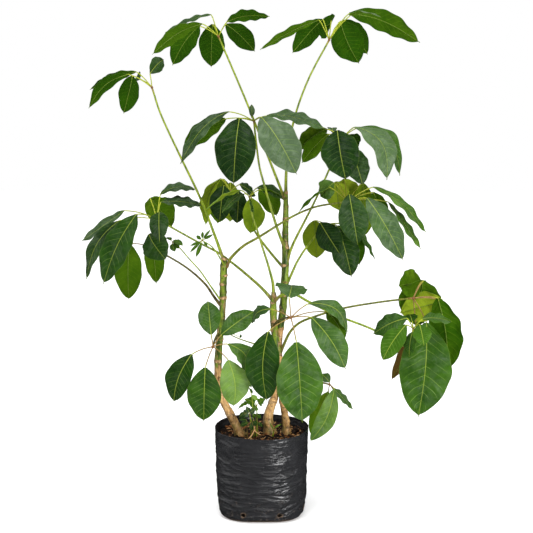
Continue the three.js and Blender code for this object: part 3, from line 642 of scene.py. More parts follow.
LEAF_LOOKS = ["leaf_upper", "leaf_under", "leaflet_stalk", "leaf_stalk"]
LEAF_STALK_STEPS, LEAF_STALK_SIDES = 6, 12
FOOT_KNOB = 0.12  # how much thicker a long stalk is right at its foot
FOOT_KNOB_STEPS = 3
KNOB_RADIUS = 3.6 * MM  # of the small swelling that the leaflet stalks spread from
BROWN_STALK = 0.55  # on a leaf whose long stalk is browner than this, the leaflet stalks are brown as well


def leaf_stalk(stalk, size, brown):
    """A leaf's long stalk, from the middle of its stem to its whorl."""
    line = smooth_line([place(spot) for spot in stalk], LEAF_STALK_STEPS)
    last = len(line) - 1
    radii = []
    for i in range(last + 1):
        foot = (1 - i / last) ** LEAF_STALK_SWELL
        radius = LEAF_STALK_RADIUS + (LEAF_STALK_FOOT - LEAF_STALK_RADIUS) * foot
        radii.append(size * radius * MM * (1 + FOOT_KNOB * hump(i, FOOT_KNOB_STEPS)))
    length = sum((stop - start).length for start, stop in zip(line, line[1:]))
    return swept(line, radii, LEAF_STALK_SIDES, edge=lambda along: along / length, sort=brown)


def whorl_knob(whorl, size):
    bm = new_mesh()
    here = Matrix.Translation(whorl)
    bmesh.ops.create_icosphere(bm, subdivisions=2, radius=KNOB_RADIUS * size, matrix=here)
    mark(bm, sort=1)
    return bm


def leaf(number, name, age, stalk, leaflets):
    """One leaf, which stands for its solid."""
    young = all(leaflet[2] < YOUNG_WIDTH for leaflet in leaflets)
    size = YOUNG_SIZE if young else 1
    looks, brown = LOOKS[name]
    leaflet_brown = 0.9 if age == "mid" or brown > BROWN_STALK else 0.4 * brown
    whorl = place(stalk[-1])
    bm = new_mesh()
    take_in(bm, leaf_stalk(stalk, size, brown), 3)
    take_in(bm, whorl_knob(whorl, size), 2)
    for i, (leaflet, look) in enumerate(zip(leaflets, looks)):
        form = Leaflet(leaflet, look, number * 20 + i, name in LOBED)
        take_in(bm, leaflet_stalk(whorl, form, size, leaflet_brown), 2)
        take_in(bm, blade_mesh(form))
    finished(bm, name + "_grown", LEAF_LOOKS, "leaf_" + age, name)


# ---------------------------------------------------------------- stems

STEM_STEPS, STEM_SIDES = 16, 28
STEM_SHARE = 0.94  # a stem's radius between its scars, as a share of the solid's
SCAR_RING, RING_RISE = 3.2 * MM, 0.05  # how far a scar's ring reaches up and down, and its rise, as a share
SCAR_SWELL, SWELL_RISE = 11 * MM, 0.06  # and those of the swelling there
KNOBS, KNOB_RISE = 20, 0.05  # how many knobs the metre of a stem holds, and their rise
GOLDEN_TURN = math.radians(137.5)  # from each leaf of a stem to the next
SCAR_HALF, SCAR_BUMPS = 4, (3, 110)  # how far a corky scar reaches up and down, and its outline's bumps
SCAR_SIDE = (-0.2, 0.7)  # where round the stem it begins and is whole, as the cosine from its middle
SCAR_RISE = 0.11  # how far it stands out, as a share of the radius
SCAR_LINE, SCAR_LINE_SLANT = 1.6, 2  # half the height of the line round the stem there, and how it slants
BARK_BUMPS = [(0.55, 90), (0.3, 260)]
FOOT_FLARE = 4  # how far a stem spreads where it goes into the soil
FOOT_TOP, FOOT_BOTTOM = SOIL_LEVEL + 22, SOIL_LEVEL - 4
FOOT_EVEN, FOOT_ROOTS = 1.1, 1.4  # the even part of that spread, and how closely its root ridges stand


def stem(name, spots, widths):
    """A stem with the scars that its fallen leaves left, which stands for its solid."""
    scars = [place([0, up, 0]).z for up in SCARS[name]]
    line = smooth_line([place(spot) for spot in spots], STEM_STEPS)
    radii = []
    for i, point in enumerate(line):
        ring = sum(hump(point.z - scar, SCAR_RING) for scar in scars)
        swell = sum(hump(point.z - scar, SCAR_SWELL) for scar in scars)
        knobbly = noise.noise(Vector((point.z * KNOBS, len(name), 0)))
        radius = sampled(widths, i / (len(line) - 1)) * MM
        radii.append(radius * (STEM_SHARE + RING_RISE * ring + SWELL_RISE * swell + KNOB_RISE * knobbly))
    bm = swept(line, radii, STEM_SIDES)
    across, along, edge, _, dust, sort = [bm.verts.layers.float[layer] for layer in LAYERS]
    travelled = [0]
    for start, stop in zip(line, line[1:]):
        travelled.append(travelled[-1] + (stop - start).length)
    for vert in bm.verts:
        station = min(range(len(line)), key=lambda i: abs(travelled[i] - vert[along]))
        out = (vert.co - line[station]).normalized()
        turn = math.atan2(out.y, out.x)
        vert[across] = -out.x  # painted shade: how far this point faces left, away from the light; that side is drawn darker
        for number, scar in enumerate(scars):
            away = (vert.co.z - scar) / MM
            facing = math.cos(turn - number * GOLDEN_TURN - 1)
            uneven = away + bumps(vert.co, [SCAR_BUMPS])
            vert[sort] = max(vert[sort], hump(uneven, SCAR_HALF) * smooth_step(*SCAR_SIDE, facing))
            vert[dust] = max(vert[dust], hump(away - SCAR_LINE_SLANT * facing, SCAR_LINE))
        vert.co += out * bumps(vert.co, BARK_BUMPS) * MM
        vert.co += out * (SCAR_RISE * vert[sort] * radii[station])
        buttress = FOOT_EVEN + noise.noise(Vector((out.x, out.y, len(name))) * FOOT_ROOTS)
        vert.co += out * (FOOT_FLARE * buttress * smooth_step(FOOT_TOP, FOOT_BOTTOM, vert.co.z / MM) * MM)
        vert[edge] = vert.co.z
    finished(bm, name + "_grown", ["bark_" + name], "stem_bark", name)


# ---------------------------------------------------------------- bag and soil

BAG_ROUND, BAG_UP = 250, 190  # faces of the film, round the bag and from its bottom's middle to its rim
BAG_FLOOR_SHARE = 0.12  # the share of those rows that lie under the bag
FILM_INSET = 0.6  # how far the film keeps inside the solid's outside, before its creases
FILM_THICKNESS = 0.5 * MM
FOLD_HEIGHTS = (3.4, 2.04)  # of the film's folds: the broad ones, and the narrow ones between them
FOLD_GAPS = (27, 13)  # how far apart those lie
FOLD_SAG, FOLD_WANDER = 7, 9  # how much lower a fold hangs at front and back, and how far it wanders
RIM_CALM, SIDE_CALM = 0.6, 0.45  # how much flatter the folds are near the rim, and all creases at the sides
FINE_HEIGHT, SLACK_HEIGHT, GATHER_HEIGHT = 0.35, 1.1, 0.9  # of fine creases, slack film and the rim's gathers
DENT_HEIGHT, RIM_DENT_HEIGHT = 0.8, 2.2  # of dents everywhere, and of what the rim adds to them
GATHER_FROM, NEAR_RIM_FROM = (120, 220), (150, 225)  # how high up these begin, and are in full
SETTLED = 10  # how high above the floor the film is creased in full, and how far below its rim
RIM_DIP = 0.005  # how far the rim dips and rises, as a share of its height
RIM_DIP_FROM = 170
STAIN = 1.2  # how stained the film is at the middle of a drain hole
STAIN_FADE = 0.4  # and how much less with each radius of the hole from there
SOIL_ROUND, SOIL_UP = 120, 90
SOIL_WALL_SHARE = 0.25  # the share of the soil's rows that lie along the bag's wall
SOIL_BOTTOM = 2.2
SOIL_RISE = 1.5  # how far the loose top stands above the solid's
SOIL_BUMPS = [(5, 22), (3, 70), (1.6, 190)]
SOIL_INSET = 8  # how far it keeps inside the bag's outside, where the film is creased inwards
CHIPS, CHIPS_REACH = 850, 118
CHIP_UNEVEN = 0.22  # how far each corner of a chip is moved, as a share of its size
CHIP_BEVEL = 0.12
CHIP_LENGTH, CHIP_BREADTH, CHIP_THICKNESS = (4, 15), (0.25, 0.6), (1.2, 3.2)  # the breadth as a share
CHIP_LIFT = (-0.5, 2.2)
CHIP_TILTS = (0.45, 0.35)  # how far chips lean, endways and sideways, in radians
FIBRES, FIBRES_REACH = 60, 112
FIBRE_LENGTH, FIBRE_RADIUS, FIBRE_LIFT = (8, 24), (0.3, 0.8), (0.5, 4)


def bag_reach(z, angle):
    """How far the bag's outside is from its axis, at a height and in a direction, in millimetres."""
    z = clamped(z, 0, BAG_HEIGHT)
    above = next(i for i, row in enumerate(BAG_PROFILE) if i and row[0] >= z)
    low, high = BAG_PROFILE[above - 1], BAG_PROFILE[above]
    share = (z - low[0]) / (high[0] - low[0])
    half, square = [low[i] + (high[i] - low[i]) * share for i in (1, 2)]
    spread = abs(math.cos(angle)) ** square + abs(math.sin(angle)) ** square
    return half / spread ** (1 / square)


def ridge(spot):
    """Noise that rises to sharp crests, from 0 to 1."""
    return max(1 - 2.4 * abs(noise.noise(spot)), 0) ** 2


def crease(angle, z):
    """How far the film stands out or in, in millimetres: long slack folds that sag at front and back."""

    def spot(spread, x, y, up):
        return around(spread, angle, up) + Vector((x, y, 0))

    sagged = z - FOLD_SAG * math.cos(2 * angle) + FOLD_WANDER * noise.noise(spot(1.6, 2, 0, z / 90))
    broad = ridge(spot(1.3, 0, 3, sagged / FOLD_GAPS[0]))
    narrow = ridge(spot(2.2, 5, 3, sagged / FOLD_GAPS[1]))
    fine = noise.noise(spot(3.5, 0, 7, sagged / 4.5))
    slack = noise.noise(spot(1.5, 4, 0, z / 50))
    dents = noise.noise(spot(2.6, 9, 0, z / 30))
    gathers = ridge(spot(6, 1, 8, z / 90)) * smooth_step(*GATHER_FROM, z)
    near_rim = smooth_step(*NEAR_RIM_FROM, z)
    height = (FOLD_HEIGHTS[0] * broad + FOLD_HEIGHTS[1] * narrow) * (1 - RIM_CALM * near_rim)
    height += FINE_HEIGHT * fine + SLACK_HEIGHT * slack + (DENT_HEIGHT + RIM_DENT_HEIGHT * near_rim) * dents
    return height * (1 - SIDE_CALM * math.cos(angle) ** 4) + GATHER_HEIGHT * (gathers - 1)


def wrapped(columns, rows, spot):
    """A grid wrapped round the bag's axis. spot places each point from its direction and its row's share."""
    bm = new_mesh()
    bmesh.ops.create_grid(bm, x_segments=columns, y_segments=rows, size=1)
    for vert in bm.verts:
        vert.co = spot((vert.co.x + 1) * math.pi, (vert.co.y + 1) / 2)
    bmesh.ops.remove_doubles(bm, verts=bm.verts, dist=0.02 * MM)
    return bm


def film_spot(angle, row):
    """A point of the bag's film, from the middle of its bottom outwards and up to its rim."""
    z = max(row - BAG_FLOOR_SHARE, 0) / (1 - BAG_FLOOR_SHARE) * BAG_HEIGHT
    settled = smooth_step(0, SETTLED, z) * (1 - 0.4 * smooth_step(BAG_HEIGHT - SETTLED, BAG_HEIGHT, z))
    reach = min(row / BAG_FLOOR_SHARE, 1) * (bag_reach(z, angle) - FILM_INSET + crease(angle, z) * settled)
    dip = 1 - math.sin(3 * angle + 1) * smooth_step(RIM_DIP_FROM, BAG_HEIGHT, z)
    return around(reach, angle, z * (1 - RIM_DIP * dip)) * MM


def bag():
    """The bag's film, creased, with its drain holes, which stands for its solid."""
    bm = wrapped(BAG_ROUND, BAG_UP, film_spot)
    dust = bm.verts.layers.float["dust"]
    for hole in range(DRAIN_HOLES):
        angle = (hole + 0.5) / DRAIN_HOLES * 2 * math.pi + math.pi / 2
        centre = around(bag_reach(DRAIN_HEIGHT, angle), angle, DRAIN_HEIGHT) * MM
        for vert in bm.verts:
            away = (vert.co - centre).length / (DRAIN_RADIUS * MM)
            vert[dust] = max(vert[dust], STAIN - STAIN_FADE * away)
        punched = [f for f in bm.faces if (f.calc_center_median() - centre).length < DRAIN_RADIUS * MM]
        bmesh.ops.delete(bm, geom=punched, context="FACES")
    bmesh.ops.recalc_face_normals(bm, faces=bm.faces)
    film = finished(bm, "nursery_bag_film", ["bag_film"], "bag_film", "nursery_bag")
    wall = film.modifiers.new("wall", "SOLIDIFY")
    wall.thickness = FILM_THICKNESS
    wall.offset = -1


def on_soil(spot, lift=0):
    """The point this many millimetres above the soil's surface, over a spot."""
    x, y = spot.xy
    rough = bumps(Vector((x, y, 0)), SOIL_BUMPS)
    return Vector((x, y, (SOIL_LEVEL + SOIL_RISE + rough + lift) * MM))


def soil_spot(angle, row):
    """A point of the soil, from its bottom up along the bag's wall and in to the middle of its top."""
    if row < SOIL_WALL_SHARE:
        z = SOIL_BOTTOM + (SOIL_LEVEL - SOIL_BOTTOM) * row / SOIL_WALL_SHARE
        return around(bag_reach(z, angle) - SOIL_INSET, angle, z) * MM
    share = (1 - row) / (1 - SOIL_WALL_SHARE)
    return on_soil(around(share * (bag_reach(SOIL_LEVEL, angle) - SOIL_INSET), angle, 0) * MM)


def soil():
    """The soil, with a rough top, which stands for its solid."""
    bm = wrapped(SOIL_ROUND, SOIL_UP, soil_spot)
    finished(closed(bm), "soil_heap", ["soil"], "potting_soil", "soil")


def strewn(draw, reach):
    """A random spot of the soil, within this many millimetres of the bag's axis."""
    return around(reach * math.sqrt(draw.random()), draw.uniform(0, 2 * math.pi), 0) * MM


def bark_chips():
    """Bark chips and husk fibres strewn on the soil."""
    draw = random.Random(11)
    bm = new_mesh()
    for _ in range(CHIPS):
        chip = new_mesh()
        bmesh.ops.create_cube(chip, size=1)
        for vert in chip.verts:
            vert.co += Vector([draw.uniform(-CHIP_UNEVEN, CHIP_UNEVEN) for _ in range(3)])
        bmesh.ops.bevel(chip, geom=chip.edges[:], offset=CHIP_BEVEL, segments=1, profile=0.5, affect="EDGES",
                        material=-1)
        length = draw.uniform(*CHIP_LENGTH)
        breadth = length * draw.uniform(*CHIP_BREADTH)
        size = Vector((length, breadth, draw.uniform(*CHIP_THICKNESS))) * MM
        spot = strewn(draw, CHIPS_REACH)
        turn = Matrix.Rotation(draw.uniform(0, 6.28), 4, "Z")
        for axis, tilt in zip("XY", CHIP_TILTS):
            turn = turn @ Matrix.Rotation(draw.gauss(0, tilt), 4, axis)
        there = Matrix.Translation(on_soil(spot, draw.uniform(*CHIP_LIFT)))
        bmesh.ops.transform(chip, matrix=there @ turn @ Matrix.Diagonal((*size, 1)), verts=chip.verts)
        mark(chip, sort=draw.random() ** 1.4)
        take_in(bm, chip)
    for _ in range(FIBRES):
        middle = strewn(draw, FIBRES_REACH)
        heading = Vector((draw.uniform(-1, 1), draw.uniform(-1, 1), 0)).normalized()
        span = heading * draw.uniform(*FIBRE_LENGTH) * MM
        points = [on_soil(middle + span * share, draw.uniform(*FIBRE_LIFT)) for share in (-0.5, 0, 0.5)]
        line = smooth_line(points, 4)
        radii = [draw.uniform(*FIBRE_RADIUS) * MM] * len(line)
        take_in(bm, swept(line, radii, 5, sort=draw.uniform(0.75, 1)))
    finished(bm, "bark_chips", ["chips"], "potting_soil")


# A dry twig that lies forked on the soil: its prongs, as places, and their radius.
TWIG = [
    ([[-21, 268, -40], [-20, 252, -52], [-19, 240, -62]], 1.9),
    ([[-19, 241, -62], [-26, 228, -72], [-35, 217, -84]], 1.7),
    ([[-19, 240, -62], [-10, 232, -68], [-2, 227, -72]], 1.5),
    ([[-20, 252, -52], [-26, 256, -50], [-31, 263, -50]], 1.1),
]
PRONG_TAPER = 0.65  # a prong's radius at its end, as a share of that


def dry_twig():
    """The straw-coloured twig in front of the weeds."""
    bm = new_mesh()
    for spots, radius in TWIG:
        take_in(bm, shoot(spots, radius, radius * PRONG_TAPER, sort=1))
    finished(bm, "dry_twig", ["chips"], "potting_soil")


# A thin vine that climbs out of the weeds: its line, and its small leaves, each as a leaflet is written, with
# its lightness, which in part paints the light and shade on it, and its dust, which in part paints a sheen.
VINE = [[-20, 205, -26], [-22, 262, -30], [-25, 320, -34], [-27, 336, -36], [-32, 352, -36], [-40, 374, -36],
        [-47, 396, -34], [-52, 410, -30], [-50, 424, -26]]
VINE_RADII = (1.5, 0.9)
VINE_LEAVES = [
    ([[-27, 336, -37], [-11, 322, -42], 14, 35, 0.1], (0.95, 0.3)),
    ([[-32, 354, -37], [-24, 340, -38], 9, 50, 0.1], (0.30, 0.2)),
    ([[-38, 372, -37], [-27, 358, -38], 10, 20, 0.1], (0.35, 0.2)),
    ([[-51, 408, -31], [-64, 401, -34], 10, -30, 0.1], (0.25, 0.2)),
    ([[-50, 420, -28], [-38, 428, -24], 9, 30, 0.1], (0.25, 0.2)),
]
# Seedlings crowded round the weeds, written the same way.
SEEDLINGS = [
    ([[-36, 262, -60], [-58, 252, -62], 13, -20, 0.15], (0.12, 0.1)),
    ([[-40, 268, -56], [-61, 270, -58], 12, -35, 0.12], (0.08, 0.1)),
    ([[-30, 256, -62], [-26, 240, -70], 12, 10, 0.12], (0.10, 0.1)),
    ([[-24, 266, -58], [-12, 256, -64], 12, 30, 0.12], (0.05, 0.1)),
    ([[-10, 262, -40], [2, 250, -46], 11, 30, 0.12], (0.15, 0.1)),
    ([[-12, 282, -30], [-2, 274, -34], 12, 30, 0.12], (0.42, 0)),
    ([[-15, 284, -30], [-25, 275, -34], 12, -30, 0.12], (0.40, 0)),
    ([[-46, 290, -44], [-60, 276, -46], 12, -20, 0.12], (0.08, 0.3)),
]
SEEDLING_RADIUS = 0.7
SEEDLING_SPREAD = 4 * MM  # how far from under its leaf a seedling stands
VINE_SEED, SEEDLINGS_SEED = 900, 940


def small_plant(name, slot, stalks, leaves, seed):
    """Some stalks, and small blades that have no stalks of their own."""
    bm = new_mesh()
    for stalk in stalks:
        take_in(bm, stalk, 2)
    for i, (row, look) in enumerate(leaves):
        take_in(bm, blade_mesh(Leaflet(row, look, seed + i)))
    finished(bm, name, ["leaf_upper", "leaf_under", "leaf_stalk"], slot)


def soil_vine():
    vine = shoot(VINE, *VINE_RADII, edge=0.5)
    small_plant("soil_vine", "leaf_fresh", [vine], VINE_LEAVES, VINE_SEED)


def seedlings():
    """Low dark leaves between the weeds and the soil."""
    stalks = []
    for number, (row, _) in enumerate(SEEDLINGS):
        start = place(row[0])
        aside = start.x + SEEDLING_SPREAD * (number % 3 - 1)
        foot = Vector((aside, start.y + SEEDLING_SPREAD, (SOIL_LEVEL - 4) * MM))
        line = smooth_line([foot, start], 4)
        stalks.append(swept(line, [SEEDLING_RADIUS * MM] * len(line), 6))
    small_plant("seedlings", "leaf_old", stalks, SEEDLINGS, SEEDLINGS_SEED)


# ---------------------------------------------------------------- finishes

class Wire:
    """One value in a node tree. Python's operators on it add Math nodes."""

    def __init__(self, nodes, socket):
        self.math = nodes.math
        self.socket = socket

    def __add__(self, other):
        return self.math("ADD", self, other)

    def __sub__(self, other):
        return self.math("SUBTRACT", self, other)

    def __rsub__(self, other):
        return self.math("SUBTRACT", other, self)

    def __mul__(self, other):
        return self.math("MULTIPLY", self, other)

    def __abs__(self):
        return self.math("ABSOLUTE", self)

    __radd__ = __add__
    __rmul__ = __mul__


class Nodes:
    """A node tree, of a finish or of the sky."""

    def __init__(self, tree):
        self.tree = tree

    def node(self, kind, settings, inputs, output=0):
        """Adds a node: its settings come first, then its inputs, each a number, a colour or a wire."""
        made = self.tree.nodes.new(kind)
        for key, value in settings.items():
            if key == "stops":
                ramp = made.color_ramp
                while len(ramp.elements) < len(value):
                    ramp.elements.new(0.5)
                for element, (position, colour) in zip(ramp.elements, value):
                    element.position = position
                    element.color = (*colour, 1)
            else:
                setattr(made, key, value)
        self.feed(made, inputs)
        return Wire(self, made.outputs[output])

    def feed(self, made, inputs):
        for key, value in inputs.items():
            if isinstance(value, Wire):
                self.tree.links.new(value.socket, made.inputs[key])
            else:
                made.inputs[key].default_value = value

    def math(self, operation, *values):
        return self.node("ShaderNodeMath", {"operation": operation}, dict(enumerate(values)))

    def where(self, kind):
        """The coordinates of this kind."""
        return self.node("ShaderNodeTexCoord", {}, {}, kind)

    def height(self, where):
        return self.node("ShaderNodeSeparateXYZ", {}, {0: where}, "Z")


class Finish(Nodes):
    """A procedural material, made node by node."""

    def __init__(self, name, **sockets):
        self.material = bpy.data.materials.new(name)
        self.material.use_nodes = True
        super().__init__(self.material.node_tree)
        self.shader = self.tree.nodes["Principled BSDF"]
        self.feed(self.shader, {socket.replace("_", " "): value for socket, value in sockets.items()})

    def step(self, value, low, high):
        """0 below low and 1 above high, or the other way round, with a soft step between."""
        inputs = {"Value": value, "From Min": low, "From Max": high}
        return self.node("ShaderNodeMapRange", {"interpolation_type": "SMOOTHSTEP"}, inputs)

    def mix(self, share, first, second):
        """A colour between two."""
        first, second = [c if isinstance(c, Wire) else (*c, 1) for c in (first, second)]
        return self.node("ShaderNodeMix", {"data_type": "RGBA"}, {0: share, 6: first, 7: second}, 2)

    def coats(self, tone, *coats):
        """Lays coats of colour over a tone. Each is how far it covers what is below it, and its colour."""
        for cover, colour in coats:
            tone = self.mix(cover, tone, colour)
        return tone

    def ramp(self, value, *stops):
        return self.node("ShaderNodeValToRGB", {"stops": stops}, {0: value})

    def layer(self, name):
        """A value that the mesh holds at its vertices."""
        return self.node("ShaderNodeAttribute", {"attribute_name": name}, {}, "Fac")

    def spot(self, stretch=(1, 1, 1)):
        """The place on the plant, stretched along its axes."""
        inputs = {0: self.where("Object"), 1: stretch}
        return self.node("ShaderNodeVectorMath", {"operation": "MULTIPLY"}, inputs)

    def clouds(self, scale, detail=3, rough=0.5, stretch=(1, 1, 1), warp=0):
        """Soft noise from 0 to 1, with this many lumps to the metre."""
        inputs = {"Scale": scale, "Detail": detail, "Roughness": rough, "Distortion": warp}
        return self.node("ShaderNodeTexNoise", {}, {"Vector": self.spot(stretch), **inputs})

    def patches(self, low, high, *lumps, **more):
        """Patches of 1 on 0 with soft edges: such clouds, stepped from low to high."""
        return self.step(self.clouds(*lumps, **more), low, high)

    def dots(self, scale, low, high, kind="F1"):
        """Dots of 1 scattered over 0, or with another kind the net of lines between them."""
        cells = {"Vector": self.spot(), "Scale": scale}
        return self.step(self.node("ShaderNodeTexVoronoi", {"feature": kind}, cells, "Distance"), low, high)

    def paint(self, tone, rough, height, depth):
        """Gives the surface its colour and roughness, and a relief of this depth in millimetres."""
        relief = self.node("ShaderNodeBump", {}, {"Height": height, "Distance": depth * MM}, "Normal")
        self.feed(self.shader, {"Base Color": tone, "Roughness": rough, "Normal": relief})
        return self.material


MIDRIB_HALF = 1.25 * MM  # how far a midrib's colour reaches on each side, with a soft edge
VEINS_WIDE = 0.07  # how wide a side vein is drawn, as a share of the space between two


def vein_net(sh):
    """Where a blade's ribs run: its midrib, its side veins, and the fine net between them."""
    across = abs(sh.layer("across"))
    edge = sh.layer("edge")
    midrib = sh.step(across, MIDRIB_HALF, 0.4 * MM)
    rise = sh.layer("along") - edge * VEIN_RISE - edge * edge * VEIN_BEND
    wander = (sh.clouds(16, 2) - 0.5) * 0.07
    beat = sh.math("PINGPONG", (rise + wander) * VEINS, 0.5)
    strength = sh.step(edge, 0.97, 0.55) * sh.step(across, 0, 2 * MM) * sh.patches(0.25, 0.5, 26, 2)
    return midrib, sh.step(beat, VEINS_WIDE, 0) * strength, sh.dots(210, 0.12, 0, "DISTANCE_TO_EDGE")


def upper_finish():
    """The waxy upper face of a blade, from dark to pale green, which in part paints the light and shade on
    it, with its midrib, and a dusty bloom that in part paints a sheen.
    """
    sh = Finish("leaf_upper", Specular_IOR_Level=0.035)
    midrib, veins, net = vein_net(sh)
    dust = sh.layer("dust")
    edge = sh.layer("edge")
    uneven = sh.patches(0.3, 0.7, 13, 5, 0.65, warp=0.5) - 0.5
    # light: the leaflet's tone and, in part, painted light and shade
    light = sh.layer("light") + uneven * 0.26 + (edge - 0.5) * 0.06
    # film: a pale grey-green coat of dust and bloom that in part paints a sheen of mirrored light
    film = dust * (sh.patches(0.40, 0.68, 38, 5, 0.65, warp=0.9) * (1 - dust * 0.5) + dust * 0.5)
    tone = sh.coats(
        sh.ramp(light, (0.0, (0.0035, 0.013, 0.0025)), (0.3, (0.010, 0.036, 0.0025)),
                (0.6, (0.032, 0.084, 0.005)), (1.0, (0.16, 0.27, 0.045))),
        (net * 0.12, (0.045, 0.10, 0.022)),
        (film * 0.66, (0.125, 0.168, 0.105)),
        (sh.dots(170, 0.12, 0.03) * sh.patches(0.5, 0.6, 33, 2) * (dust * 0.45 + 0.05), (0.30, 0.34, 0.24)),
        (veins * (light * 0.5 + 0.14), (0.19, 0.30, 0.06)),
        (midrib * (0.72 - sh.layer("along") * 0.40), (0.27, 0.34, 0.045)),
        (sh.step(edge, 0.955, 0.995) * 0.22, (0.14, 0.21, 0.03)),
    )
    rough = sh.patches(0.3, 0.7, 55) * 0.14 + film * 0.16 + 0.20
    return sh.paint(tone, rough, midrib * 0.6 - veins * 0.9 + net * 0.15 + sh.clouds(110) * 0.5, 0.4)


def under_finish():
    """The matt underside of a blade, yellower, with raised ribs, browned where it has dried, and painted
    brighter where light shines through it and darker where it lies in shade.
    """
    sh = Finish("leaf_under", Specular_IOR_Level=0.015)
    midrib, veins, net = vein_net(sh)
    # light: painted light that shines through the underside, and painted shade, from dark to bright
    # yellow-green
    light = sh.layer("light") + (sh.patches(0.25, 0.75, 15, 4, 0.6) - 0.5) * 0.22
    dried = sh.step(sh.layer("dust") + (sh.clouds(60, 4) - 0.5) * 0.8, 1.05, 1.8) * 0.85
    tone = sh.coats(
        sh.ramp(light, (0.0, (0.006, 0.022, 0.001)), (0.35, (0.014, 0.052, 0.001)),
                (0.65, (0.048, 0.105, 0.003)), (1.0, (0.185, 0.25, 0.014))),
        (net * 0.04, (0.07, 0.14, 0.006)),
        (veins * 0.35, (0.10, 0.18, 0.010)),
        (midrib * 0.4, (0.16, 0.22, 0.02)),
        (dried, (0.14, 0.066, 0.018)),
    )
    return sh.paint(tone, sh.clouds(40, 2) * 0.1 + 0.55, veins + midrib, 0.35)


def leaf_stalk_finish():
    """A long stalk: yellow-green or brown, and brown where it leaves the stem and at its whorl."""
    sh = Finish("leaf_stalk", Specular_IOR_Level=0.4)
    reach = sh.layer("edge")
    streaks = sh.patches(0.3, 0.7, 260, stretch=(1, 1, 0.08))
    aged = sh.mix(streaks, (0.030, 0.022, 0.005), (0.12, 0.090, 0.018))
    tone = sh.coats(
        sh.mix(streaks, (0.075, 0.135, 0.003), (0.27, 0.34, 0.014)),
        (sh.layer("sort") + (sh.clouds(22) - 0.5) * 0.5, aged),
        (sh.step(reach, 0.955, 1) * 0.85, (0.17, 0.075, 0.018)),
        (sh.step(reach + (streaks - 0.5) * 0.03, 0.09, 0.02) * 0.75, (0.16, 0.085, 0.030)),
    )
    return sh.paint(tone, streaks * 0.15 + 0.36, streaks, 0.25)


def leaflet_stalk_finish():
    """A leaflet's stalk and rib: brown at the whorl, and yellow-green under the blade."""
    sh = Finish("leaflet_stalk", Specular_IOR_Level=0.35)
    reach = sh.layer("edge")
    grain = sh.patches(0.3, 0.7, 420, 2)
    rib = sh.mix(grain, (0.055, 0.115, 0.004), (0.12, 0.19, 0.010))
    brown = sh.mix(grain, (0.11, 0.056, 0.014), (0.26, 0.145, 0.044))
    tone = sh.coats(
        sh.mix(grain, (0.16, 0.215, 0.006), (0.35, 0.39, 0.016)),
        (sh.step(reach, 0.95, 1.2), rib),
        (sh.step(reach, 1.15, 0.6) * sh.layer("sort"), brown),
        (sh.step(reach, 0.18, 0.02) * 0.8, (0.14, 0.055, 0.014)),
    )
    return sh.paint(tone, grain * 0.1 + 0.42, grain, 0.1)


def bark_finish(stem_name):
    """Tan bark low down and vivid green above, with corky leaf scars, cracks and specks, and painted shade on
    its left side.
    """
    sh = Finish("bark_" + stem_name, Specular_IOR_Level=0.45)
    height, scar, line = [sh.layer(name) for name in ("edge", "sort", "dust")]
    blotches = sh.patches(0.32, 0.68, 34, 4, 0.62, (1, 1, 0.7))
    uneven = blotches - 0.5
    grain = sh.patches(0.28, 0.72, 190, 5, 0.62, (1, 1, 0.35))
    cracks = sh.patches(0.57, 0.63, 60, 5, 0.7, (1, 1, 1.8), 0.7)
    moss = sh.step(height + blotches * 0.01, 0.285, 0.245) * sh.patches(0.42, 0.6, 50)
    tan = sh.coats(
        sh.mix(grain, (0.20, 0.088, 0.022), (0.78, 0.48, 0.18)),
        (blotches * 0.45, (0.16, 0.080, 0.022)),
        (moss * 0.6, (0.10, 0.11, 0.02)),
    )
    streaks = sh.patches(0.35, 0.65, 75, 4, 0.6, (1, 1, 0.2))
    peeling = sh.patches(0.57, 0.63, 46, 4, 0.6, (1, 1, 0.4))
    green = sh.coats(
        sh.mix(streaks, (0.016, 0.044, 0.001), (0.17, 0.245, 0.005)),
        (peeling * 0.75, sh.mix(grain, (0.13, 0.065, 0.020), (0.46, 0.29, 0.12))),
    )
    turn = place([0, GREEN_FROM[stem_name], 0]).z
    corky = sh.mix(grain, (0.22, 0.115, 0.042), (0.64, 0.42, 0.19))
    tone = sh.coats(
        sh.mix(sh.step(height + uneven * 0.02, turn - 4 * MM, turn + 4 * MM), tan, green),
        (sh.step(scar + uneven * 0.35, 0.38, 0.5) * 0.95, corky),
        (sh.step(scar, 0.3, 0.42) * sh.step(scar, 0.58, 0.46) * 0.75, (0.06, 0.030, 0.012)),
        (sh.step(line + (grain - 0.5) * 0.7, 0.5, 0.85) * 0.7, (0.25, 0.14, 0.050)),
        (cracks * 0.75, (0.050, 0.028, 0.011)),
        (sh.dots(120, 0.22, 0.12) * 0.8, (0.040, 0.024, 0.011)),
        # painted shade on the side of the stem that faces left, away from the light
        (sh.step(sh.layer("across") + uneven * 0.3, 0.25, 0.95) * 0.6, (0.030, 0.028, 0.006)),
    )
    return sh.paint(tone, grain * 0.2 + 0.36, grain * 0.35 + blotches * 0.4 - cracks * 0.7, 0.9)


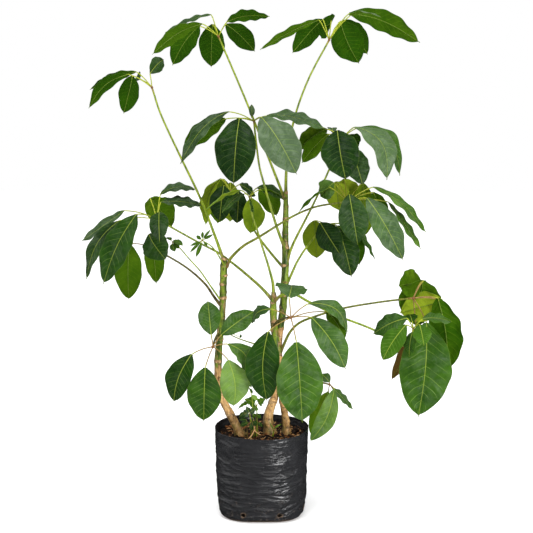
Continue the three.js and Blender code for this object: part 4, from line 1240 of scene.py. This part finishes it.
def film_finish():
    """Charcoal polythene film with fine stretched creases, scuffs, and soil dust near the floor."""
    sh = Finish("bag_film", Specular_IOR_Level=0.55)
    height = sh.height(sh.spot())
    low = sh.step(height, 0.10, 0)
    dust = sh.patches(0.54, 0.74, 58, 6, 0.7) * (low * 0.5 + 0.06)
    smear = sh.step(sh.layer("dust") + (sh.clouds(70, 4, 0.6) - 0.5) * 1.5, 0.40, 0.90)
    hem = sh.step(height + sh.clouds(60) * 0.006, 0.011, 0.004) * 0.75
    specks = sh.patches(0.70, 0.76, 260, 2) * sh.patches(0.5, 0.62, 21, 2) * (low * 0.8 + 0.1)
    tone = sh.coats(
        sh.mix(sh.clouds(24, 4), (0.009, 0.0092, 0.010), (0.025, 0.0253, 0.0275)),
        (dust, (0.12, 0.085, 0.06)),
        (sh.math("MAXIMUM", smear * 0.85, hem), (0.19, 0.115, 0.06)),
        (specks, (0.34, 0.21, 0.12)),
    )
    crinkle = abs(sh.clouds(26, 3, 0.5, (0.7, 0.7, 2.6), 0.6) - 0.5)
    creases = sh.clouds(30, 5, 0.6, (0.6, 0.6, 3.4), 0.8) - sh.step(crinkle, 0.05, 0) * 0.35
    return sh.paint(tone, sh.clouds(70, 4) * 0.14 + (dust + smear) * 0.3 + 0.17, creases, 1.5)


def soil_finish():
    """Dark, damp potting mix."""
    sh = Finish("soil", Specular_IOR_Level=0.2)
    crumbs = sh.patches(0.35, 0.72, 230, 5, 0.65)
    tone = sh.mix(crumbs, (0.003, 0.0018, 0.001), (0.022, 0.010, 0.004))
    return sh.paint(tone, crumbs * 0.1 + 0.85, crumbs, 2.5)


def chip_finish():
    """Bark chips, husk and twigs, from near black to orange-brown and straw."""
    sh = Finish("chips", Specular_IOR_Level=0.25)
    grain = sh.patches(0.3, 0.7, 380, 4, 0.6, (1, 0.4, 1))
    tone = sh.ramp(sh.layer("sort"), (0.0, (0.004, 0.0025, 0.0015)), (0.42, (0.020, 0.008, 0.003)),
                   (0.72, (0.26, 0.095, 0.024)), (1.0, (0.75, 0.44, 0.19)))
    return sh.paint(sh.mix(grain * 0.5, tone, (0.02, 0.010, 0.005)), grain * 0.2 + 0.7, grain, 0.6)


FINISHES = {
    "leaf_upper": upper_finish(),
    "leaf_under": under_finish(),
    "leaf_stalk": leaf_stalk_finish(),
    "leaflet_stalk": leaflet_stalk_finish(),
    "bag_film": film_finish(),
    "soil": soil_finish(),
    "chips": chip_finish(),
    **{"bark_" + name: bark_finish(name) for name, *_ in STEMS},
}

# ---------------------------------------------------------------- studio

# A soft box: its power in watts, its width and height in metres, where it is, and where it points.
SOFT_BOXES = {
    "top_box": (42, (1.5, 0.9), (-0.3, -1.3, 3.1), (0, 0, 0.6)),
    "side_box": (36, (0.45, 0.7), (1.42, -1.90, 0.60), (0.04, 0, 0.12)),
    "left_box": (12, (3.4, 1.8), (-2.3, 0.2, 0.9), (0, 0, 0.5)),
}
SUN_STRENGTH = 2.6
SUN_SOFTNESS = 75  # how wide the sun's disc looks, in degrees
SUN_FROM = (-0.06, -0.50, 1.25)
SKY_LIGHT = 0.5
SKY_MIRRORED = (0.01, 0.62)  # how bright a glossy surface mirrors the sky, at the horizon and overhead
FLOOR_REACH = 12
FLOOR_DROP = 0.4 * MM  # how far the floor lies below the bag, so that their faces don't meet


def turned(thing, heading, axis):
    """Turns a lamp or the camera, whose own front is this axis, along a heading."""
    thing.rotation_euler = heading.to_track_quat(axis, "Y").to_euler()


def pale_floor():
    bm = bmesh.new()
    bmesh.ops.create_grid(bm, x_segments=1, y_segments=1, size=FLOOR_REACH)
    bmesh.ops.translate(bm, verts=bm.verts, vec=UP * -FLOOR_DROP)
    floor = set_out("floor", as_mesh(bm, "floor"))
    paint = Finish("floor", Base_Color=(0.93, 0.93, 0.93, 1), Roughness=0.9, Specular_IOR_Level=0,
                   Emission_Color=(1, 1, 1, 1), Emission_Strength=0.15)
    floor.data.materials.append(paint.material)
    floor.visible_glossy = False  # else its white veils the dark film and leaves


def soft_lights():
    sun = bpy.data.lights.new("soft_sun", "SUN")
    sun.energy = SUN_STRENGTH
    sun.angle = math.radians(SUN_SOFTNESS)
    daylight = set_out("soft_sun", sun)
    daylight.visible_glossy = False  # its broad mirror image would veil the dark leaves
    turned(daylight, Vector(SUN_FROM), "Z")
    for name, (power, size, where, aim) in SOFT_BOXES.items():
        lamp = bpy.data.lights.new(name, "AREA")
        lamp.shape = "RECTANGLE"
        lamp.size, lamp.size_y = size
        lamp.energy = power
        box = set_out(name, lamp)
        box.location = where
        turned(box, Vector(aim) - Vector(where), "-Z")


def sky():
    """A white sky: bright to the eye, softer as light, and mirrored dimly near the horizon."""
    world = bpy.data.worlds.new("studio")
    bpy.context.scene.world = world
    world.use_nodes = True
    sh = Nodes(world.node_tree)
    dim, bright = SKY_MIRRORED
    overhead = {"Value": sh.height(sh.where("Generated")), "To Min": dim, "To Max": bright}
    mirrored = sh.node("ShaderNodeMapRange", {}, overhead)
    glossy, seen = [sh.node("ShaderNodeLightPath", {}, {}, ray) for ray in ("Is Glossy Ray", "Is Camera Ray")]
    in_gloss = sh.node("ShaderNodeMix", {}, {"Factor": glossy, "A": SKY_LIGHT, "B": mirrored})
    in_view = sh.node("ShaderNodeMix", {}, {"Factor": seen, "A": in_gloss, "B": 1})
    sh.feed(world.node_tree.nodes["Background"], {"Color": (1, 1, 1, 1), "Strength": in_view})


def camera():
    """The camera, where the photograph was taken from."""
    view = bpy.data.cameras.new("camera")
    view.lens = SCREEN_DISTANCE / FRAME_WIDTH * view.sensor_width
    viewpoint = set_out("camera", view)
    viewpoint.location = EYE
    turned(viewpoint, SIGHT, "-Z")
    bpy.context.scene.camera = viewpoint
    bpy.context.scene.view_settings.view_transform = "Standard"


# ---------------------------------------------------------------- the whole plant

for part in (pale_floor, soft_lights, sky, camera, bag, soil, bark_chips, dry_twig, soil_vine, seedlings):
    part()
for row in STEMS:
    stem(*row)
for number, row in enumerate(LEAVES + WEEDS):
    leaf(number, *row)
